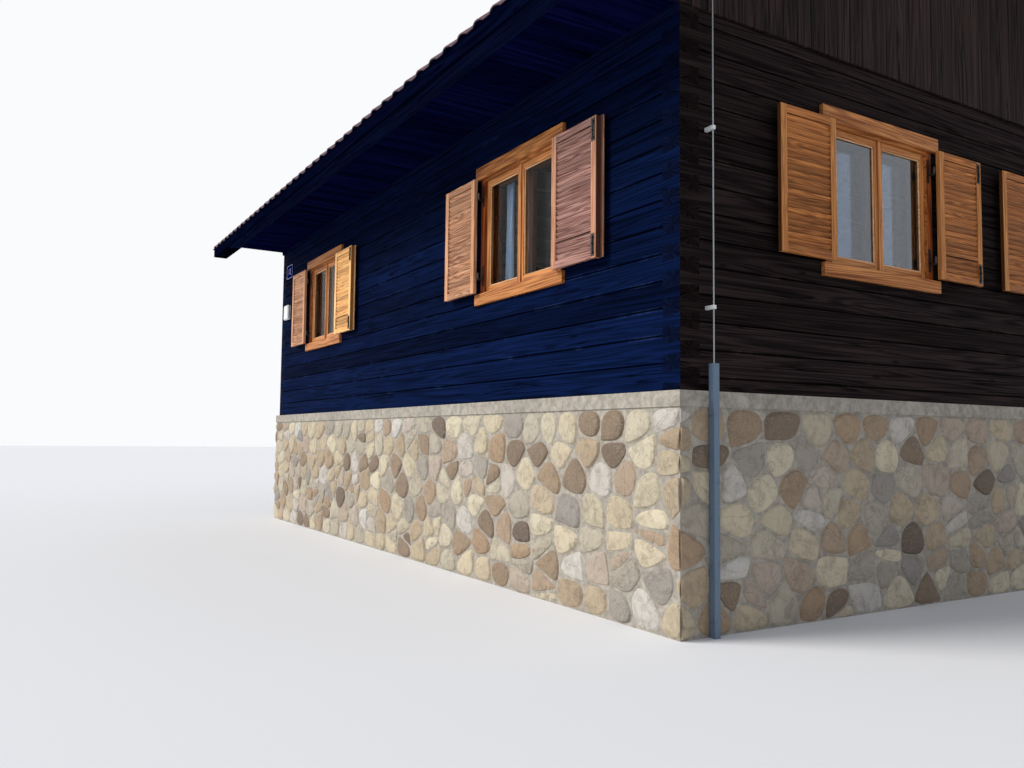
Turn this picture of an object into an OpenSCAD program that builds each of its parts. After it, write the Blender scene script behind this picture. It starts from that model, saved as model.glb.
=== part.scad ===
// Alpine chalet: squared-log walls with dovetailed corners on a rubble-stone plinth,
// under a pitched roof with wide boxed eaves, with hinged window shutters.
// Millimetres. The origin is on the ground, under the middle of the house.
// The long eaves front faces -Y, the gable with the earthing rod faces +X.

/* [Walls] */
// Length of the eaves walls, over the outside of the logs
wall_len = 8640; // [8000:20:10000]
// Depth of the house, over the outside of the logs
wall_depth = 6600; // [6400:20:8000]
// Thickness of a squared log
log_t = 160; // [150:5:220]
// Height of one log course
log_h = 174; // [160:1:190]
// Number of log courses
courses = 14; // [14:1:16]
// Bevel along the edges of each log
log_bevel = 8; // [3:1:15]
// Rise of a dovetail's slope across the log
tail_rise = 13; // [6:1:18]

/* [Plinth] */
// Height of the stone plinth with its top band, above the lowest ground
plinth_h = 1500; // [900:20:2000]
// Thickness of the plinth wall
plinth_t = 460; // [350:10:600]
// How far the plinth stands out beyond the logs
plinth_out = 30; // [20:5:60]
// Height of the mortar band on top of the plinth
band_h = 100; // [60:5:160]
// How far the mortar band stands out beyond the stones
band_out = 10; // [5:1:20]
// Thickness of the floor planks
floor_t = 60; // [30:5:100]

/* [Roof] */
// Pitch of the roof in degrees
pitch = 42; // [35:1:48]
// Overhang of the eaves beyond the long walls
eave_out = 870; // [500:10:1100]
// Overhang of the verges beyond the gables
verge_out = 870; // [500:10:1100]
// Height of the eave edge, from the soffit to the top of the covering
edge_h = 120; // [110:1:160]
// Thickness of the roof covering with its battens
cover_t = 45; // [40:1:60]
// Thickness of the roof boarding
board_t = 24; // [18:1:35]
// Depth of a rafter
rafter_d = 180; // [140:5:220]
// Width of a rafter
rafter_w = 100; // [80:5:140]
// Rafter pairs between the gables
rafter_pairs = 9; // [7:1:11]
// Side of a square purlin
purlin_s = 150; // [120:5:180]
// Distance of the middle purlins from the outside of the eaves walls
purlin_in = 1650; // [1400:10:1800]
// Gap left where one roof timber bears on another
timber_gap = 0.5; // [0.2:0.1:2]
// Height of the tie beams that carry the eaves
tie_h = 150; // [120:5:180]
// Thickness of the boards under the eaves
soffit_t = 20; // [15:1:30]
// Width of the flat trim along the outer edge of the soffit
soffit_trim_w = 150; // [80:5:220]
// Thickness of that trim
soffit_trim_t = 18; // [10:1:25]
// Height of the strip along the top of the eaves walls
wall_strip_h = 45; // [30:1:80]
// Thickness of that strip
wall_strip_t = 25; // [15:1:35]
// Thickness of the fascia and the bargeboards
fascia_t = 28; // [20:1:40]
// Thickness of the boarded gable walls
gable_t = 120; // [80:5:160]
// How far the covering reaches beyond the fascia and bargeboards
drip = 32; // [20:1:50]
// Width of one side of the ridge cap
ridge_w = 170; // [120:5:220]
// Thickness of the ridge cap over the ridge
ridge_t = 40; // [25:1:60]

/* [Windows] */
// Width of a window opening in the logs
win_w = 1240; // [1150:10:1300]
// Height of a window opening in the logs
win_h = 1040; // [950:10:1150]
// Height of the window opening above the bottom of the logs
win_sill = 927; // [850:1:1000]
// Distance of a front window's middle from the nearer corner
front_win_in = 1920; // [1850:10:2300]
// Distance of a gable window's middle from the nearer corner
gable_win_in = 1980; // [1850:10:1990]
// Face width of the window frame's jambs
frame_w = 60; // [58:1:75]
// Face height of the window frame's head and sill
frame_h = 30; // [28:1:40]
// Depth of the stop that the sashes close against
stop_w = 12; // [8:1:20]
// Setback of the sashes behind the wall face
sash_in = 24; // [15:1:40]
// Thickness of a sash
sash_t = 42; // [35:1:55]
// Thickness of an inner sash
inner_sash_t = 38; // [30:1:45]
// Setback of the inner sashes from the room
inner_sash_in = 8; // [4:1:20]
// Width of the sash stiles and rails
sash_w = 45; // [40:1:60]
// Gap round each sash
sash_gap = 2; // [1:0.5:4]
// Width of the strip over the joint of two sashes
meet_w = 34; // [24:1:50]
// Thickness of the strip over the joint of two sashes
meet_t = 12; // [8:1:20]
// Thickness of the glass
glass_t = 6; // [4:1:10]
// Height of the head board over a window
casing_h = 108; // [90:1:140]
// Height of the sill board under a window
sill_board_h = 94; // [80:1:140]
// Thickness of the casing boards
casing_t = 30; // [20:1:38]
// How far the casing boards reach past the opening
casing_out = 55; // [50:5:100]
// How far the head board laps over the frame
head_lap = 10; // [5:1:20]
// How far the sill board laps over the frame
sill_lap = 16; // [10:1:36]

/* [Shutters] */
// Thickness of a shutter leaf
leaf_t = 30; // [28:1:33]
// Distance of the hinge axis in front of the wall
axis_out = 46; // [45:1:60]
// Distance of the hinge axis from the edge of the opening, along the wall
hinge_back = 35; // [25:1:37]
// Distance of the leaf from the hinge axis, along the wall
leaf_side = 20; // [16:1:22]
// Distance of the open leaf in front of the hinge axis
leaf_front = 5; // [4:1:8]
// Gap between the two closed leaves
leaf_meet = 20; // [12:1:24]
// Gap over and under a leaf
leaf_gap = 6; // [5:1:12]
// Width of a leaf's stiles
stile_w = 58; // [50:1:80]
// Height of a leaf's top and bottom rails
rail_h = 56; // [50:1:90]
// Height of the narrow rail low in the right leaves
low_rail_h = 26; // [20:1:40]
// Height of that rail above the bottom of the leaf
low_rail_z = 196; // [150:1:260]
// Thickness of a slat
slat_t = 8; // [6:1:10]
// Spacing of the slats
slat_pitch = 42; // [38:1:50]
// Tilt of the slats in degrees
slat_tilt = 64; // [50:1:66]
// Setback of the slats behind the faces of the leaf
slat_in = 2; // [1:0.5:5]
// Depth that a slat is let into the stiles
slat_house = 8; // [4:1:12]
// Width of the strip that covers the joint of the closed leaves
astragal_w = 70; // [60:1:90]
// Width of that strip on its own leaf
astragal_own = 32; // [24:1:40]
// Thickness of that strip
astragal_t = 14; // [12:1:18]
// Air gap between that strip and the other leaf
astragal_gap = 5; // [5:0.5:8]
// Radius of a hinge pin
pin_r = 6; // [5:0.5:8]
// Running clearance of the hinge eye round its pin
pin_gap = 0.4; // [0.3:0.1:0.8]
// Wall of the hinge eye
eye_wall = 4.5; // [3:0.5:5]
// Height of the hinge eye
eye_h = 45; // [35:1:60]
// Length of the hinge strap on the leaf
strap_len = 230; // [150:10:300]
// Height of the hinge strap
strap_h = 32; // [25:1:40]
// Thickness of the hinge strap
strap_t = 4; // [3:0.5:5]
// Height of the hinges from the ends of the leaf
hinge_in = 150; // [110:5:200]
// Height of the hinge plate on the window frame
hinge_plate_h = 180; // [100:5:200]
// Width of the hinge plate on the window frame
hinge_plate_w = 28; // [22:1:34]
// Thickness of the hinge plate on the window frame
hinge_plate_t = 4; // [3:0.5:5]
// Height of the arm that carries a hinge pin
pintle_arm_h = 12; // [8:1:16]
// Gap between that arm and the hinge eye
pintle_gap = 1; // [0.5:0.5:2]

/* [Fittings] */
// Distance of the earthing rod from the near corner
rod_y = 220; // [200:10:450]
// Radius of the earthing rod
rod_r = 5; // [4:0.5:6]
// Height of the rod guard's top above the plinth
guard_over = 170; // [100:10:400]
// Side of the rod guard's angle
guard_s = 45; // [35:1:60]
// Thickness of the rod guard's angle
guard_t = 4; // [3:0.5:6]
// Height of the lowest rod clip above the guard
clip_over = 340; // [150:10:400]
// Spacing of the rod clips
clip_pitch = 1140; // [700:10:1160]
// Side of a rod clip
clip_w = 24; // [18:1:34]
// Gap between a clip and the rod
clip_gap = 0.1; // [0.1:0.1:0.5]
// Width of the house number plate
plate_w = 260; // [200:10:320]
// Height of the house number plate
plate_h = 190; // [150:10:240]
// Distance of the number plate's middle from the far corner
plate_x = 340; // [300:10:500]
// Height of the number plate's middle above the bottom of the logs
plate_z = 2090; // [1900:10:2200]
// Width of the small wall box
box_w = 200; // [150:10:240]
// Height of the small wall box
box_h = 210; // [150:5:240]
// Depth of the small wall box
box_d = 50; // [50:5:110]
// Distance of the wall box's middle from the far corner
box_x = 330; // [300:10:450]
// Height of the wall box's middle above the bottom of the logs
box_z = 1490; // [1200:10:1650]
// Width of a gathered curtain
curtain_w = 130; // [110:10:200]
// Depth of a curtain's folds
curtain_t = 60; // [40:1:80]
// Distance of a curtain's middle from the edge of the opening
curtain_in = 135; // [100:5:200]
// How far the curtains hang below the opening
curtain_drop = 60; // [20:5:120]
// Radius of a curtain rod
curtain_rod_r = 10; // [7:1:14]
// Height of a curtain rod above the opening
curtain_rod_over = 50; // [35:5:90]
// Distance of a curtain rod from the wall
curtain_rod_out = 60; // [50:5:100]

/* [Hidden] */

half_len = wall_len / 2;
half_depth = wall_depth / 2;
wall_h = courses * log_h;
log_base = plinth_h;
eaves_z = log_base + wall_h;
tan_p = tan(pitch);
cos_p = cos(pitch);
eave_y = half_depth + eave_out;
verge_x = half_len + verge_out;
edge_top = eaves_z + edge_h;
frame_depth = log_t;
front_win_x = half_len - front_win_in;
gable_win_x = half_depth - gable_win_in;
guard_top = plinth_h + guard_over;
hinge_x = win_w / 2 - hinge_back;
leaf_w = hinge_x - leaf_side - leaf_meet / 2;
leaf_z0 = sill_lap + leaf_gap;
leaf_h = win_h - head_lap - leaf_gap - leaf_z0;
eye_r = pin_r + pin_gap + eye_wall;
eps = 1;

stone = [0.62, 0.58, 0.52];
mortar = [0.75, 0.73, 0.68];
dark_log = [0.09, 0.11, 0.17];
dark_board = [0.12, 0.12, 0.15];
brown_board = [0.28, 0.18, 0.13];
golden = [0.80, 0.48, 0.18];
slat_brown = [0.62, 0.33, 0.18];
iron = [0.08, 0.08, 0.09];

// Height of the covering's top plane over a place y on either slope
function roof_top(y) = edge_top + (eave_y - abs(y)) * tan_p;

// Extrudes a shape drawn in (y, z) along X from x0 to x1
module along_x(x0, x1) {
    translate([x0, 0, 0]) rotate([90, 0, 90]) linear_extrude(x1 - x0) children();
}

// Both sides of the roof, drawn once for the front side
module both_slopes() {
    children();
    mirror([0, 1, 0]) children();
}

// A band of the front slope in (y, z), between two depths below the top plane
module slope_band(d0, d1, y_out, y_in = 0) {
    polygon([
        [-y_out, roof_top(y_out) - d0 / cos_p], [-y_in, roof_top(y_in) - d0 / cos_p],
        [-y_in, roof_top(y_in) - d1 / cos_p], [-y_out, roof_top(y_out) - d1 / cos_p]
    ]);
}

// Places a window's parts: local x along the wall, -y outwards, z up from the sill
module at_front(x) { translate([x, -half_depth, log_base + win_sill]) children(); }
module at_right(x) { translate([half_len, x, log_base + win_sill]) rotate(90) children(); }
module at_back(x) { translate([x, half_depth, log_base + win_sill]) rotate(180) children(); }
module at_left(x) { translate([-half_len, x, log_base + win_sill]) rotate(-90) children(); }
module front_pair() { for (s = [-1, 1]) at_front(s * front_win_x) children(); }
module back_pair() { for (s = [-1, 1]) at_back(s * front_win_x) children(); }
module right_pair() { for (s = [-1, 1]) at_right(s * gable_win_x) children(); }
module left_pair() { for (s = [-1, 1]) at_left(s * gable_win_x) children(); }

// Profile of a stack of squared logs in (thickness, height), bevelled at each joint
module log_stack(edges) {
    function side(out, sgn, zs) = [for (k = [0 : len(zs) - 2]) each [
        [out - sgn * log_bevel, zs[k]], [out, zs[k] + log_bevel],
        [out, zs[k + 1] - log_bevel], [out - sgn * log_bevel, zs[k + 1]]
    ]];
    right = side(log_t, 1, edges);
    left = side(0, -1, edges);
    polygon(concat(right, [for (k = [len(left) - 1 : -1 : 0]) left[k]]));
}

// One dovetail in the square of a corner: u runs to its own end, v across it.
// It flares along u and narrows along v, so that tails of the two walls interlock.
module dovetail(z_low, z_high, flat_low = false, flat_high = false) {
    w = log_t;
    r = tail_rise;
    function low(u, v) = flat_low ? z_low : z_low - r * u / w + r * v / w;
    function high(u, v) = flat_high ? z_high : z_high + r * u / w - r * v / w;
    corners = [[0, 0], [w, 0], [w, w], [0, w]];
    polyhedron(
        points = concat(
            [for (c = corners) [c[0], c[1], low(c[0], c[1])]],
            [for (c = corners) [c[0], c[1], high(c[0], c[1])]]
        ),
        faces = [[0, 1, 2, 3], [7, 6, 5, 4], [4, 5, 1, 0], [5, 6, 2, 1], [6, 7, 3, 2], [7, 4, 0, 3]]
    );
}

// All the dovetails of one wall at one corner; half_logs is true on the gable walls,
// whose courses lie half a log higher than those of the eaves walls.
module tails(half_logs) {
    if (half_logs) {
        dovetail(0, log_h / 4, flat_low = true);
        for (k = [1 : courses - 1]) dovetail((k - 0.25) * log_h, (k + 0.25) * log_h);
        dovetail((courses - 0.25) * log_h, courses * log_h, flat_high = true);
    } else {
        for (k = [0 : courses - 1]) dovetail((k + 0.25) * log_h, (k + 0.75) * log_h);
    }
}

// Heights of the log joints of an eaves wall and of a gable wall
eaves_joints = [for (k = [0 : courses]) k * log_h];
gable_joints = concat([0], [for (k = [0 : courses - 1]) (k + 0.5) * log_h], [courses * log_h]);

// A log wall that runs along x, with its outer face at y = 0 and its inner face at y = log_t
module log_wall(len, half_logs, win_x) {
    difference() {
        union() {
            translate([-len / 2 + log_t, 0, 0]) rotate([90, 0, 90])
                linear_extrude(len - 2 * log_t) log_stack(half_logs ? gable_joints : eaves_joints);
            translate([len / 2 - log_t, log_t, 0]) mirror([0, 1, 0]) tails(half_logs);
            translate([-len / 2 + log_t, log_t, 0]) rotate(180) tails(half_logs);
        }
        for (s = [-1, 1])
            translate([s * win_x - win_w / 2, -eps, win_sill]) cube([win_w, log_t + 2 * eps, win_h]);
    }
}

module stone_plinth() {
    color(stone) difference() {
        translate([-half_len - plinth_out, -half_depth - plinth_out, 0])
            cube([wall_len + 2 * plinth_out, wall_depth + 2 * plinth_out, plinth_h - band_h]);
        translate([-half_len - plinth_out + plinth_t, -half_depth - plinth_out + plinth_t, -eps])
            cube([wall_len + 2 * plinth_out - 2 * plinth_t,
                wall_depth + 2 * plinth_out - 2 * plinth_t, plinth_h]);
    }
}

module plinth_band() {
    reach = plinth_out + band_out;
    color(mortar) difference() {
        translate([-half_len - reach, -half_depth - reach, plinth_h - band_h])
            cube([wall_len + 2 * reach, wall_depth + 2 * reach, band_h]);
        translate([-half_len - plinth_out + plinth_t, -half_depth - plinth_out + plinth_t, 0])
            cube([wall_len + 2 * plinth_out - 2 * plinth_t,
                wall_depth + 2 * plinth_out - 2 * plinth_t, plinth_h + eps]);
    }
}

module floor_planks() {
    color(golden) translate([-half_len + log_t, -half_depth + log_t, log_base])
        cube([wall_len - 2 * log_t, wall_depth - 2 * log_t, floor_t]);
}

module front_log_wall() {
    color(dark_log) translate([0, -half_depth, log_base]) log_wall(wall_len, false, front_win_x);
}
module back_log_wall() {
    color(dark_log) translate([0, half_depth, log_base]) rotate(180) log_wall(wall_len, false, front_win_x);
}
module right_log_wall() {
    color(brown_board) translate([half_len, 0, log_base]) rotate(90)
        log_wall(wall_depth, true, gable_win_x);
}
module left_log_wall() {
    color(brown_board) translate([-half_len, 0, log_base]) rotate(-90)
        log_wall(wall_depth, true, gable_win_x);
}

purlin_drop = cover_t + board_t + rafter_d + timber_gap;
mid_purlin_y = half_depth - purlin_in;

// Section of a purlin in (y, z), with its top against the rafters
module mid_purlin_section() {
    translate([-mid_purlin_y, roof_top(mid_purlin_y) - purlin_drop / cos_p])
        rotate(pitch) translate([-purlin_s / 2, -purlin_s]) square(purlin_s);
}
module ridge_purlin_section() {
    half = purlin_s / 2;
    low = roof_top(0) - purlin_drop / cos_p - purlin_s;
    polygon([
        [-half, low], [half, low], [half, roof_top(half) - purlin_drop / cos_p],
        [0, roof_top(0) - purlin_drop / cos_p], [-half, roof_top(half) - purlin_drop / cos_p]
    ]);
}

module purlins() {
    reach = verge_x - drip - fascia_t;
    color(dark_board) {
        both_slopes() along_x(-reach, reach) mid_purlin_section();
        along_x(-reach, reach) ridge_purlin_section();
    }
}

module gable_section() {
    drop = (cover_t + board_t) / cos_p;
    low = eaves_z + soffit_t;
    reach = eave_y - drip - fascia_t;
    seat = half_depth - timber_gap;
    difference() {
        polygon([
            [-reach, low], [-seat, low], [-seat, eaves_z], [seat, eaves_z], [seat, low],
            [reach, low], [reach, roof_top(reach) - drop],
            [0, roof_top(0) - drop], [-reach, roof_top(reach) - drop]
        ]);
        mid_purlin_section();
        mirror([1, 0]) mid_purlin_section();
        ridge_purlin_section();
    }
}

module gable_boarding() {
    color(brown_board) for (s = [0, 1]) mirror([s, 0, 0])
        along_x(half_len - gable_t, half_len) gable_section();
}

rafter_x0 = half_len - gable_t - rafter_w / 2;
function rafter_x(k) = -rafter_x0 + 2 * rafter_x0 * k / (rafter_pairs - 1);

module tie_beams() {
    drop = (cover_t + board_t + rafter_d + timber_gap) / cos_p;
    top = eaves_z + soffit_t + tie_h;
    y_cut = eave_y - (top - edge_top + drop) / tan_p;
    y_low = eave_y - (eaves_z + soffit_t - edge_top + drop) / tan_p;
    color(dark_board) for (k = [0 : rafter_pairs - 1])
        along_x(rafter_x(k) - rafter_w / 2, rafter_x(k) + rafter_w / 2)
            polygon([
                [-y_low, eaves_z + soffit_t], [y_low, eaves_z + soffit_t],
                [y_cut, top], [-y_cut, top]
            ]);
}

module rafter_section() {
    reach = eave_y - drip - fascia_t;
    intersection() {
        slope_band(cover_t + board_t, cover_t + board_t + rafter_d, reach);
        translate([-eave_y, eaves_z + soffit_t]) square([eave_y, roof_top(0)]);
    }
}

module rafters() {
    edge_x = verge_x - drip - fascia_t - rafter_w;
    color(dark_board) {
        for (k = [0 : rafter_pairs - 1])
            along_x(rafter_x(k) - rafter_w / 2, rafter_x(k) + rafter_w / 2) {
                rafter_section();
                mirror([1, 0]) rafter_section();
            }
        for (s = [0, 1]) mirror([s, 0, 0]) along_x(edge_x, edge_x + rafter_w) {
            rafter_section();
            mirror([1, 0]) rafter_section();
        }
    }
}

module roof_boards() {
    reach_y = eave_y - drip - fascia_t;
    reach_x = verge_x - drip - fascia_t;
    color(dark_board) along_x(-reach_x, reach_x) {
        slope_band(cover_t, cover_t + board_t, reach_y);
        mirror([1, 0]) slope_band(cover_t, cover_t + board_t, reach_y);
    }
}

module roof_covering_front() {
    color("#5b2f2a") along_x(-verge_x, verge_x) slope_band(0, cover_t, eave_y);
}
module roof_covering_back() {
    color("#5b2f2a") mirror([0, 1, 0]) along_x(-verge_x, verge_x) slope_band(0, cover_t, eave_y);
}

module ridge_cap() {
    top = roof_top(0);
    side = roof_top(ridge_w);
    color("#4e2824") along_x(-verge_x, verge_x)
        polygon([
            [-ridge_w, side], [0, top], [ridge_w, side],
            [ridge_w, side + ridge_t / 2], [0, top + ridge_t], [-ridge_w, side + ridge_t / 2]
        ]);
}

module soffits() {
    reach = eave_y - drip - fascia_t;
    color(dark_board) both_slopes()
        translate([-half_len, -reach, eaves_z]) cube([wall_len, eave_out - drip - fascia_t, soffit_t]);
}

module soffit_trims() {
    reach = eave_y - drip - fascia_t;
    color(dark_board) both_slopes() {
        translate([-half_len, -reach, eaves_z - soffit_trim_t])
            cube([wall_len, soffit_trim_w, soffit_trim_t]);
        translate([-half_len, -half_depth - wall_strip_t, eaves_z - wall_strip_h])
            cube([wall_len, wall_strip_t, wall_strip_h]);
    }
}

module fascias() {
    y0 = eave_y - drip;
    top = roof_top(y0) - cover_t / cos_p;
    reach = verge_x - drip - fascia_t;
    color(dark_board) both_slopes()
        translate([-reach, -y0, eaves_z - soffit_trim_t])
            cube([2 * reach, fascia_t, top - eaves_z + soffit_trim_t]);
}

module bargeboard_section() {
    y0 = eave_y - drip;
    intersection() {
        slope_band(cover_t, cover_t + board_t + rafter_d, y0);
        translate([-eave_y, eaves_z - soffit_trim_t]) square([eave_y, roof_top(0)]);
    }
}

module bargeboards() {
    x1 = verge_x - drip;
    color(dark_board) for (s = [0, 1]) mirror([s, 0, 0]) along_x(x1 - fascia_t, x1) {
        bargeboard_section();
        mirror([1, 0]) bargeboard_section();
    }
}

module window_frame() {
    clear = win_w - 2 * frame_w;
    clear_h = win_h - 2 * frame_h;
    deep = sash_in + sash_t;
    difference() {
        union() {
            translate([-win_w / 2, 0, 0]) cube([win_w, frame_depth, win_h]);
            translate([-win_w / 2 - casing_out, -casing_t, win_h - head_lap])
                cube([win_w + 2 * casing_out, casing_t, casing_h]);
            translate([-win_w / 2 - casing_out, -casing_t, sill_lap - sill_board_h])
                cube([win_w + 2 * casing_out, casing_t, sill_board_h]);
        }
        translate([-clear / 2, -eps, frame_h]) cube([clear, deep + eps, clear_h]);
        translate([-clear / 2, inner_sash_y - sash_gap, frame_h])
            cube([clear, frame_depth, clear_h]);
        translate([-clear / 2 + stop_w, 0, frame_h + stop_w])
            cube([clear - 2 * stop_w, frame_depth + eps, clear_h - 2 * stop_w]);
    }
}

inner_sash_y = frame_depth - inner_sash_in - inner_sash_t;
sash_outer_w = win_w / 2 - frame_w - 1.5 * sash_gap;
sash_outer_h = win_h - 2 * frame_h - 2 * sash_gap;

// One sash of a given thickness, from x = sash_gap / 2 outwards
module sash(y, thick) {
    translate([sash_gap / 2, y, frame_h + sash_gap]) difference() {
        cube([sash_outer_w, thick, sash_outer_h]);
        translate([sash_w, -eps, sash_w])
            cube([sash_outer_w - 2 * sash_w, thick + 2 * eps, sash_outer_h - 2 * sash_w]);
    }
}

// The outer and the inner pair of sashes; the outer left one carries the meeting strip
module sash_pair() {
    outer_t = sash_t - sash_gap;
    for (side = [0, 1]) mirror([side, 0, 0]) {
        sash(sash_in, outer_t);
        sash(inner_sash_y, inner_sash_t);
    }
    translate([-meet_w / 2, sash_in - meet_t, frame_h + sash_gap])
        cube([meet_w / 2, meet_t, sash_outer_h]);
    translate([-eps, sash_in - meet_t, frame_h + sash_gap])
        cube([eps + meet_w / 2, meet_t - sash_gap, sash_outer_h]);
}

module pane(y, thick) {
    translate([sash_gap / 2 + sash_w, y + (thick - glass_t) / 2, frame_h + sash_gap + sash_w])
        cube([sash_outer_w - 2 * sash_w, glass_t, sash_outer_h - 2 * sash_w]);
}

module pane_pair() {
    for (side = [0, 1]) mirror([side, 0, 0]) {
        pane(sash_in, sash_t - sash_gap);
        pane(inner_sash_y, inner_sash_t);
    }
}

module front_window_frames() { color(golden) front_pair() window_frame(); }
module front_sashes() { color(golden) front_pair() sash_pair(); }
module front_glass() { color([0.6, 0.75, 0.85, 0.4]) front_pair() pane_pair(); }
module right_window_frames() { color(golden) right_pair() window_frame(); }
module right_sashes() { color(golden) right_pair() sash_pair(); }
module right_glass() { color([0.6, 0.75, 0.85, 0.4]) right_pair() pane_pair(); }
module left_window_frames() { color(golden) left_pair() window_frame(); }
module left_sashes() { color(golden) left_pair() sash_pair(); }
module left_glass() { color([0.6, 0.75, 0.85, 0.4]) left_pair() pane_pair(); }
module back_window_frames() { color(golden) back_pair() window_frame(); }
module back_sashes() { color(golden) back_pair() sash_pair(); }
module back_glass() { color([0.6, 0.75, 0.85, 0.4]) back_pair() pane_pair(); }

// Slats in (y, z) between two heights; each rises from the wall side to the open side
module slat_rows(z0, z1) {
    rows = floor((z1 - z0) / slat_pitch);
    start = (z1 - z0 - (rows - 1) * slat_pitch) / 2;
    slat_d = (leaf_t - 2 * slat_in - slat_t * sin(slat_tilt)) / cos(slat_tilt);
    for (k = [0 : rows - 1])
        translate([0, z0 + start + k * slat_pitch]) rotate(-slat_tilt)
            square([slat_d, slat_t], center = true);
}

// A louvred leaf, open against the wall: its hinge edge at x = -leaf_side
module leaf_wood(low_rail = false) {
    inner_w = leaf_w - 2 * stile_w;
    translate([-leaf_side - leaf_w, -axis_out - leaf_front - leaf_t, leaf_z0]) {
        difference() {
            cube([leaf_w, leaf_t, leaf_h]);
            translate([stile_w, -eps, rail_h]) cube([inner_w, leaf_t + 2 * eps, leaf_h - 2 * rail_h]);
        }
        if (low_rail) translate([stile_w, 0, low_rail_z]) cube([inner_w, leaf_t, low_rail_h]);
        translate([stile_w - slat_house, leaf_t / 2, 0]) rotate([90, 0, 90])
            linear_extrude(inner_w + 2 * slat_house) {
                if (low_rail) slat_rows(rail_h, low_rail_z);
                slat_rows(low_rail ? low_rail_z + low_rail_h : rail_h, leaf_h - rail_h);
            }
    }
}

// The strip on the leaf that closes last, on its wall side while the leaf is open
module astragal() {
    edge = -leaf_side - leaf_w;
    y0 = -axis_out - leaf_front;
    lap = astragal_w - astragal_own;
    translate([edge, y0, leaf_z0]) cube([astragal_own, astragal_t, leaf_h]);
    translate([edge - lap, y0 + astragal_gap, leaf_z0])
        cube([lap + eps, astragal_t - astragal_gap, leaf_h]);
}

hinge_heights = [leaf_z0 + hinge_in, leaf_z0 + leaf_h - hinge_in];

module leaf_irons() {
    for (z = hinge_heights) translate([0, 0, z]) difference() {
        union() {
            translate([0, -axis_out, -eye_h / 2]) cylinder(r = eye_r, h = eye_h, $fn = 48);
            translate([-leaf_side - strap_len, -axis_out - leaf_front, -strap_h / 2])
                cube([leaf_side + strap_len, strap_t, strap_h]);
        }
        translate([0, -axis_out, -eye_h]) cylinder(r = pin_r + pin_gap, h = 2 * eye_h, $fn = 48);
    }
}

module pintle_pair() {
    pin_over = 6;
    for (z = hinge_heights) translate([0, 0, z]) {
        translate([0, -axis_out, -eye_h / 2 - pintle_gap - pintle_arm_h])
            cylinder(r = pin_r, h = pintle_arm_h + pintle_gap + eye_h + pin_over, $fn = 48);
        translate([-pin_r, -axis_out, -eye_h / 2 - pintle_gap - pintle_arm_h])
            cube([2 * pin_r, axis_out, pintle_arm_h]);
        translate([-pin_r, -hinge_plate_t, -hinge_plate_h / 2])
            cube([hinge_plate_w, hinge_plate_t, hinge_plate_h]);
    }
}

// The left leaf of a window is drawn; the right one is its mirror image with the astragal
module left_hand() { translate([-hinge_x, 0, 0]) children(); }
module right_hand() { mirror([1, 0, 0]) translate([-hinge_x, 0, 0]) children(); }

module leaf_left() { color(slat_brown) left_hand() leaf_wood(); }
module leaf_right() {
    color(slat_brown) right_hand() {
        leaf_wood(low_rail = true);
        astragal();
    }
}

module shutter_near_left() { at_front(front_win_x) leaf_left(); }
module shutter_near_right() { at_front(front_win_x) leaf_right(); }
module shutter_far_left() { at_front(-front_win_x) leaf_left(); }
module shutter_far_right() { at_front(-front_win_x) leaf_right(); }
module shutter_gable_left() { at_right(-gable_win_x) leaf_left(); }
module shutter_gable_right() { at_right(-gable_win_x) leaf_right(); }
module irons_near_left() { color(iron) at_front(front_win_x) left_hand() leaf_irons(); }
module irons_near_right() { color(iron) at_front(front_win_x) right_hand() leaf_irons(); }
module irons_far_left() { color(iron) at_front(-front_win_x) left_hand() leaf_irons(); }
module irons_far_right() { color(iron) at_front(-front_win_x) right_hand() leaf_irons(); }
module irons_gable_left() { color(iron) at_right(-gable_win_x) left_hand() leaf_irons(); }
module irons_gable_right() { color(iron) at_right(-gable_win_x) right_hand() leaf_irons(); }

module shutter_pintles() {
    color(iron) {
        front_pair() {
            left_hand() pintle_pair();
            right_hand() pintle_pair();
        }
        at_right(-gable_win_x) {
            left_hand() pintle_pair();
            right_hand() pintle_pair();
        }
    }
}

module fixed_windows() {
    back_pair() children();
    left_pair() children();
    at_right(gable_win_x) children();
}

module fixed_shutters() {
    fixed_windows() {
        leaf_left();
        leaf_right();
    }
}

module fixed_shutter_irons() {
    color(iron) fixed_windows() {
        left_hand() {
            leaf_irons();
            pintle_pair();
        }
        right_hand() {
            leaf_irons();
            pintle_pair();
        }
    }
}

rod_x = half_len + plinth_out + band_out + guard_s / 2;
rod_place_y = -half_depth + rod_y;

module earthing_rod() {
    foot = 20;
    top = roof_top(rod_place_y) - (cover_t + board_t) / cos_p - 2 * rod_r * tan_p;
    color("silver") translate([rod_x, rod_place_y, foot]) cylinder(r = rod_r, h = top - foot, $fn = 24);
}

module rod_guard() {
    color("#5d7285") translate([half_len + plinth_out + band_out, rod_place_y - guard_s / 2, 0])
        difference() {
            cube([guard_s, guard_s, guard_top]);
            translate([-eps, guard_t, -eps])
                cube([guard_s - guard_t + eps, guard_s - 2 * guard_t, guard_top + 2 * eps]);
        }
}

module rod_clips() {
    wrap = 6;
    reach = rod_x - half_len + rod_r + wrap;
    color("white") for (k = [0 : 2])
        translate([half_len, rod_place_y - clip_w / 2, guard_top + clip_over + k * clip_pitch])
            difference() {
                cube([reach, clip_w, clip_w]);
                translate([rod_x - half_len, clip_w / 2, -eps])
                    cylinder(r = rod_r + clip_gap, h = clip_w + 2 * eps, $fn = 24);
            }
}

module number_plate() {
    plate_t = 8;
    color("#2a4f8f") translate([-half_len + plate_x - plate_w / 2, -half_depth - plate_t,
        log_base + plate_z - plate_h / 2]) cube([plate_w, plate_t, plate_h]);
}

module wall_box() {
    color("white") translate([-half_len + box_x - box_w / 2, -half_depth - box_d,
        log_base + box_z - box_h / 2]) cube([box_w, box_d, box_h]);
}

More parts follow.
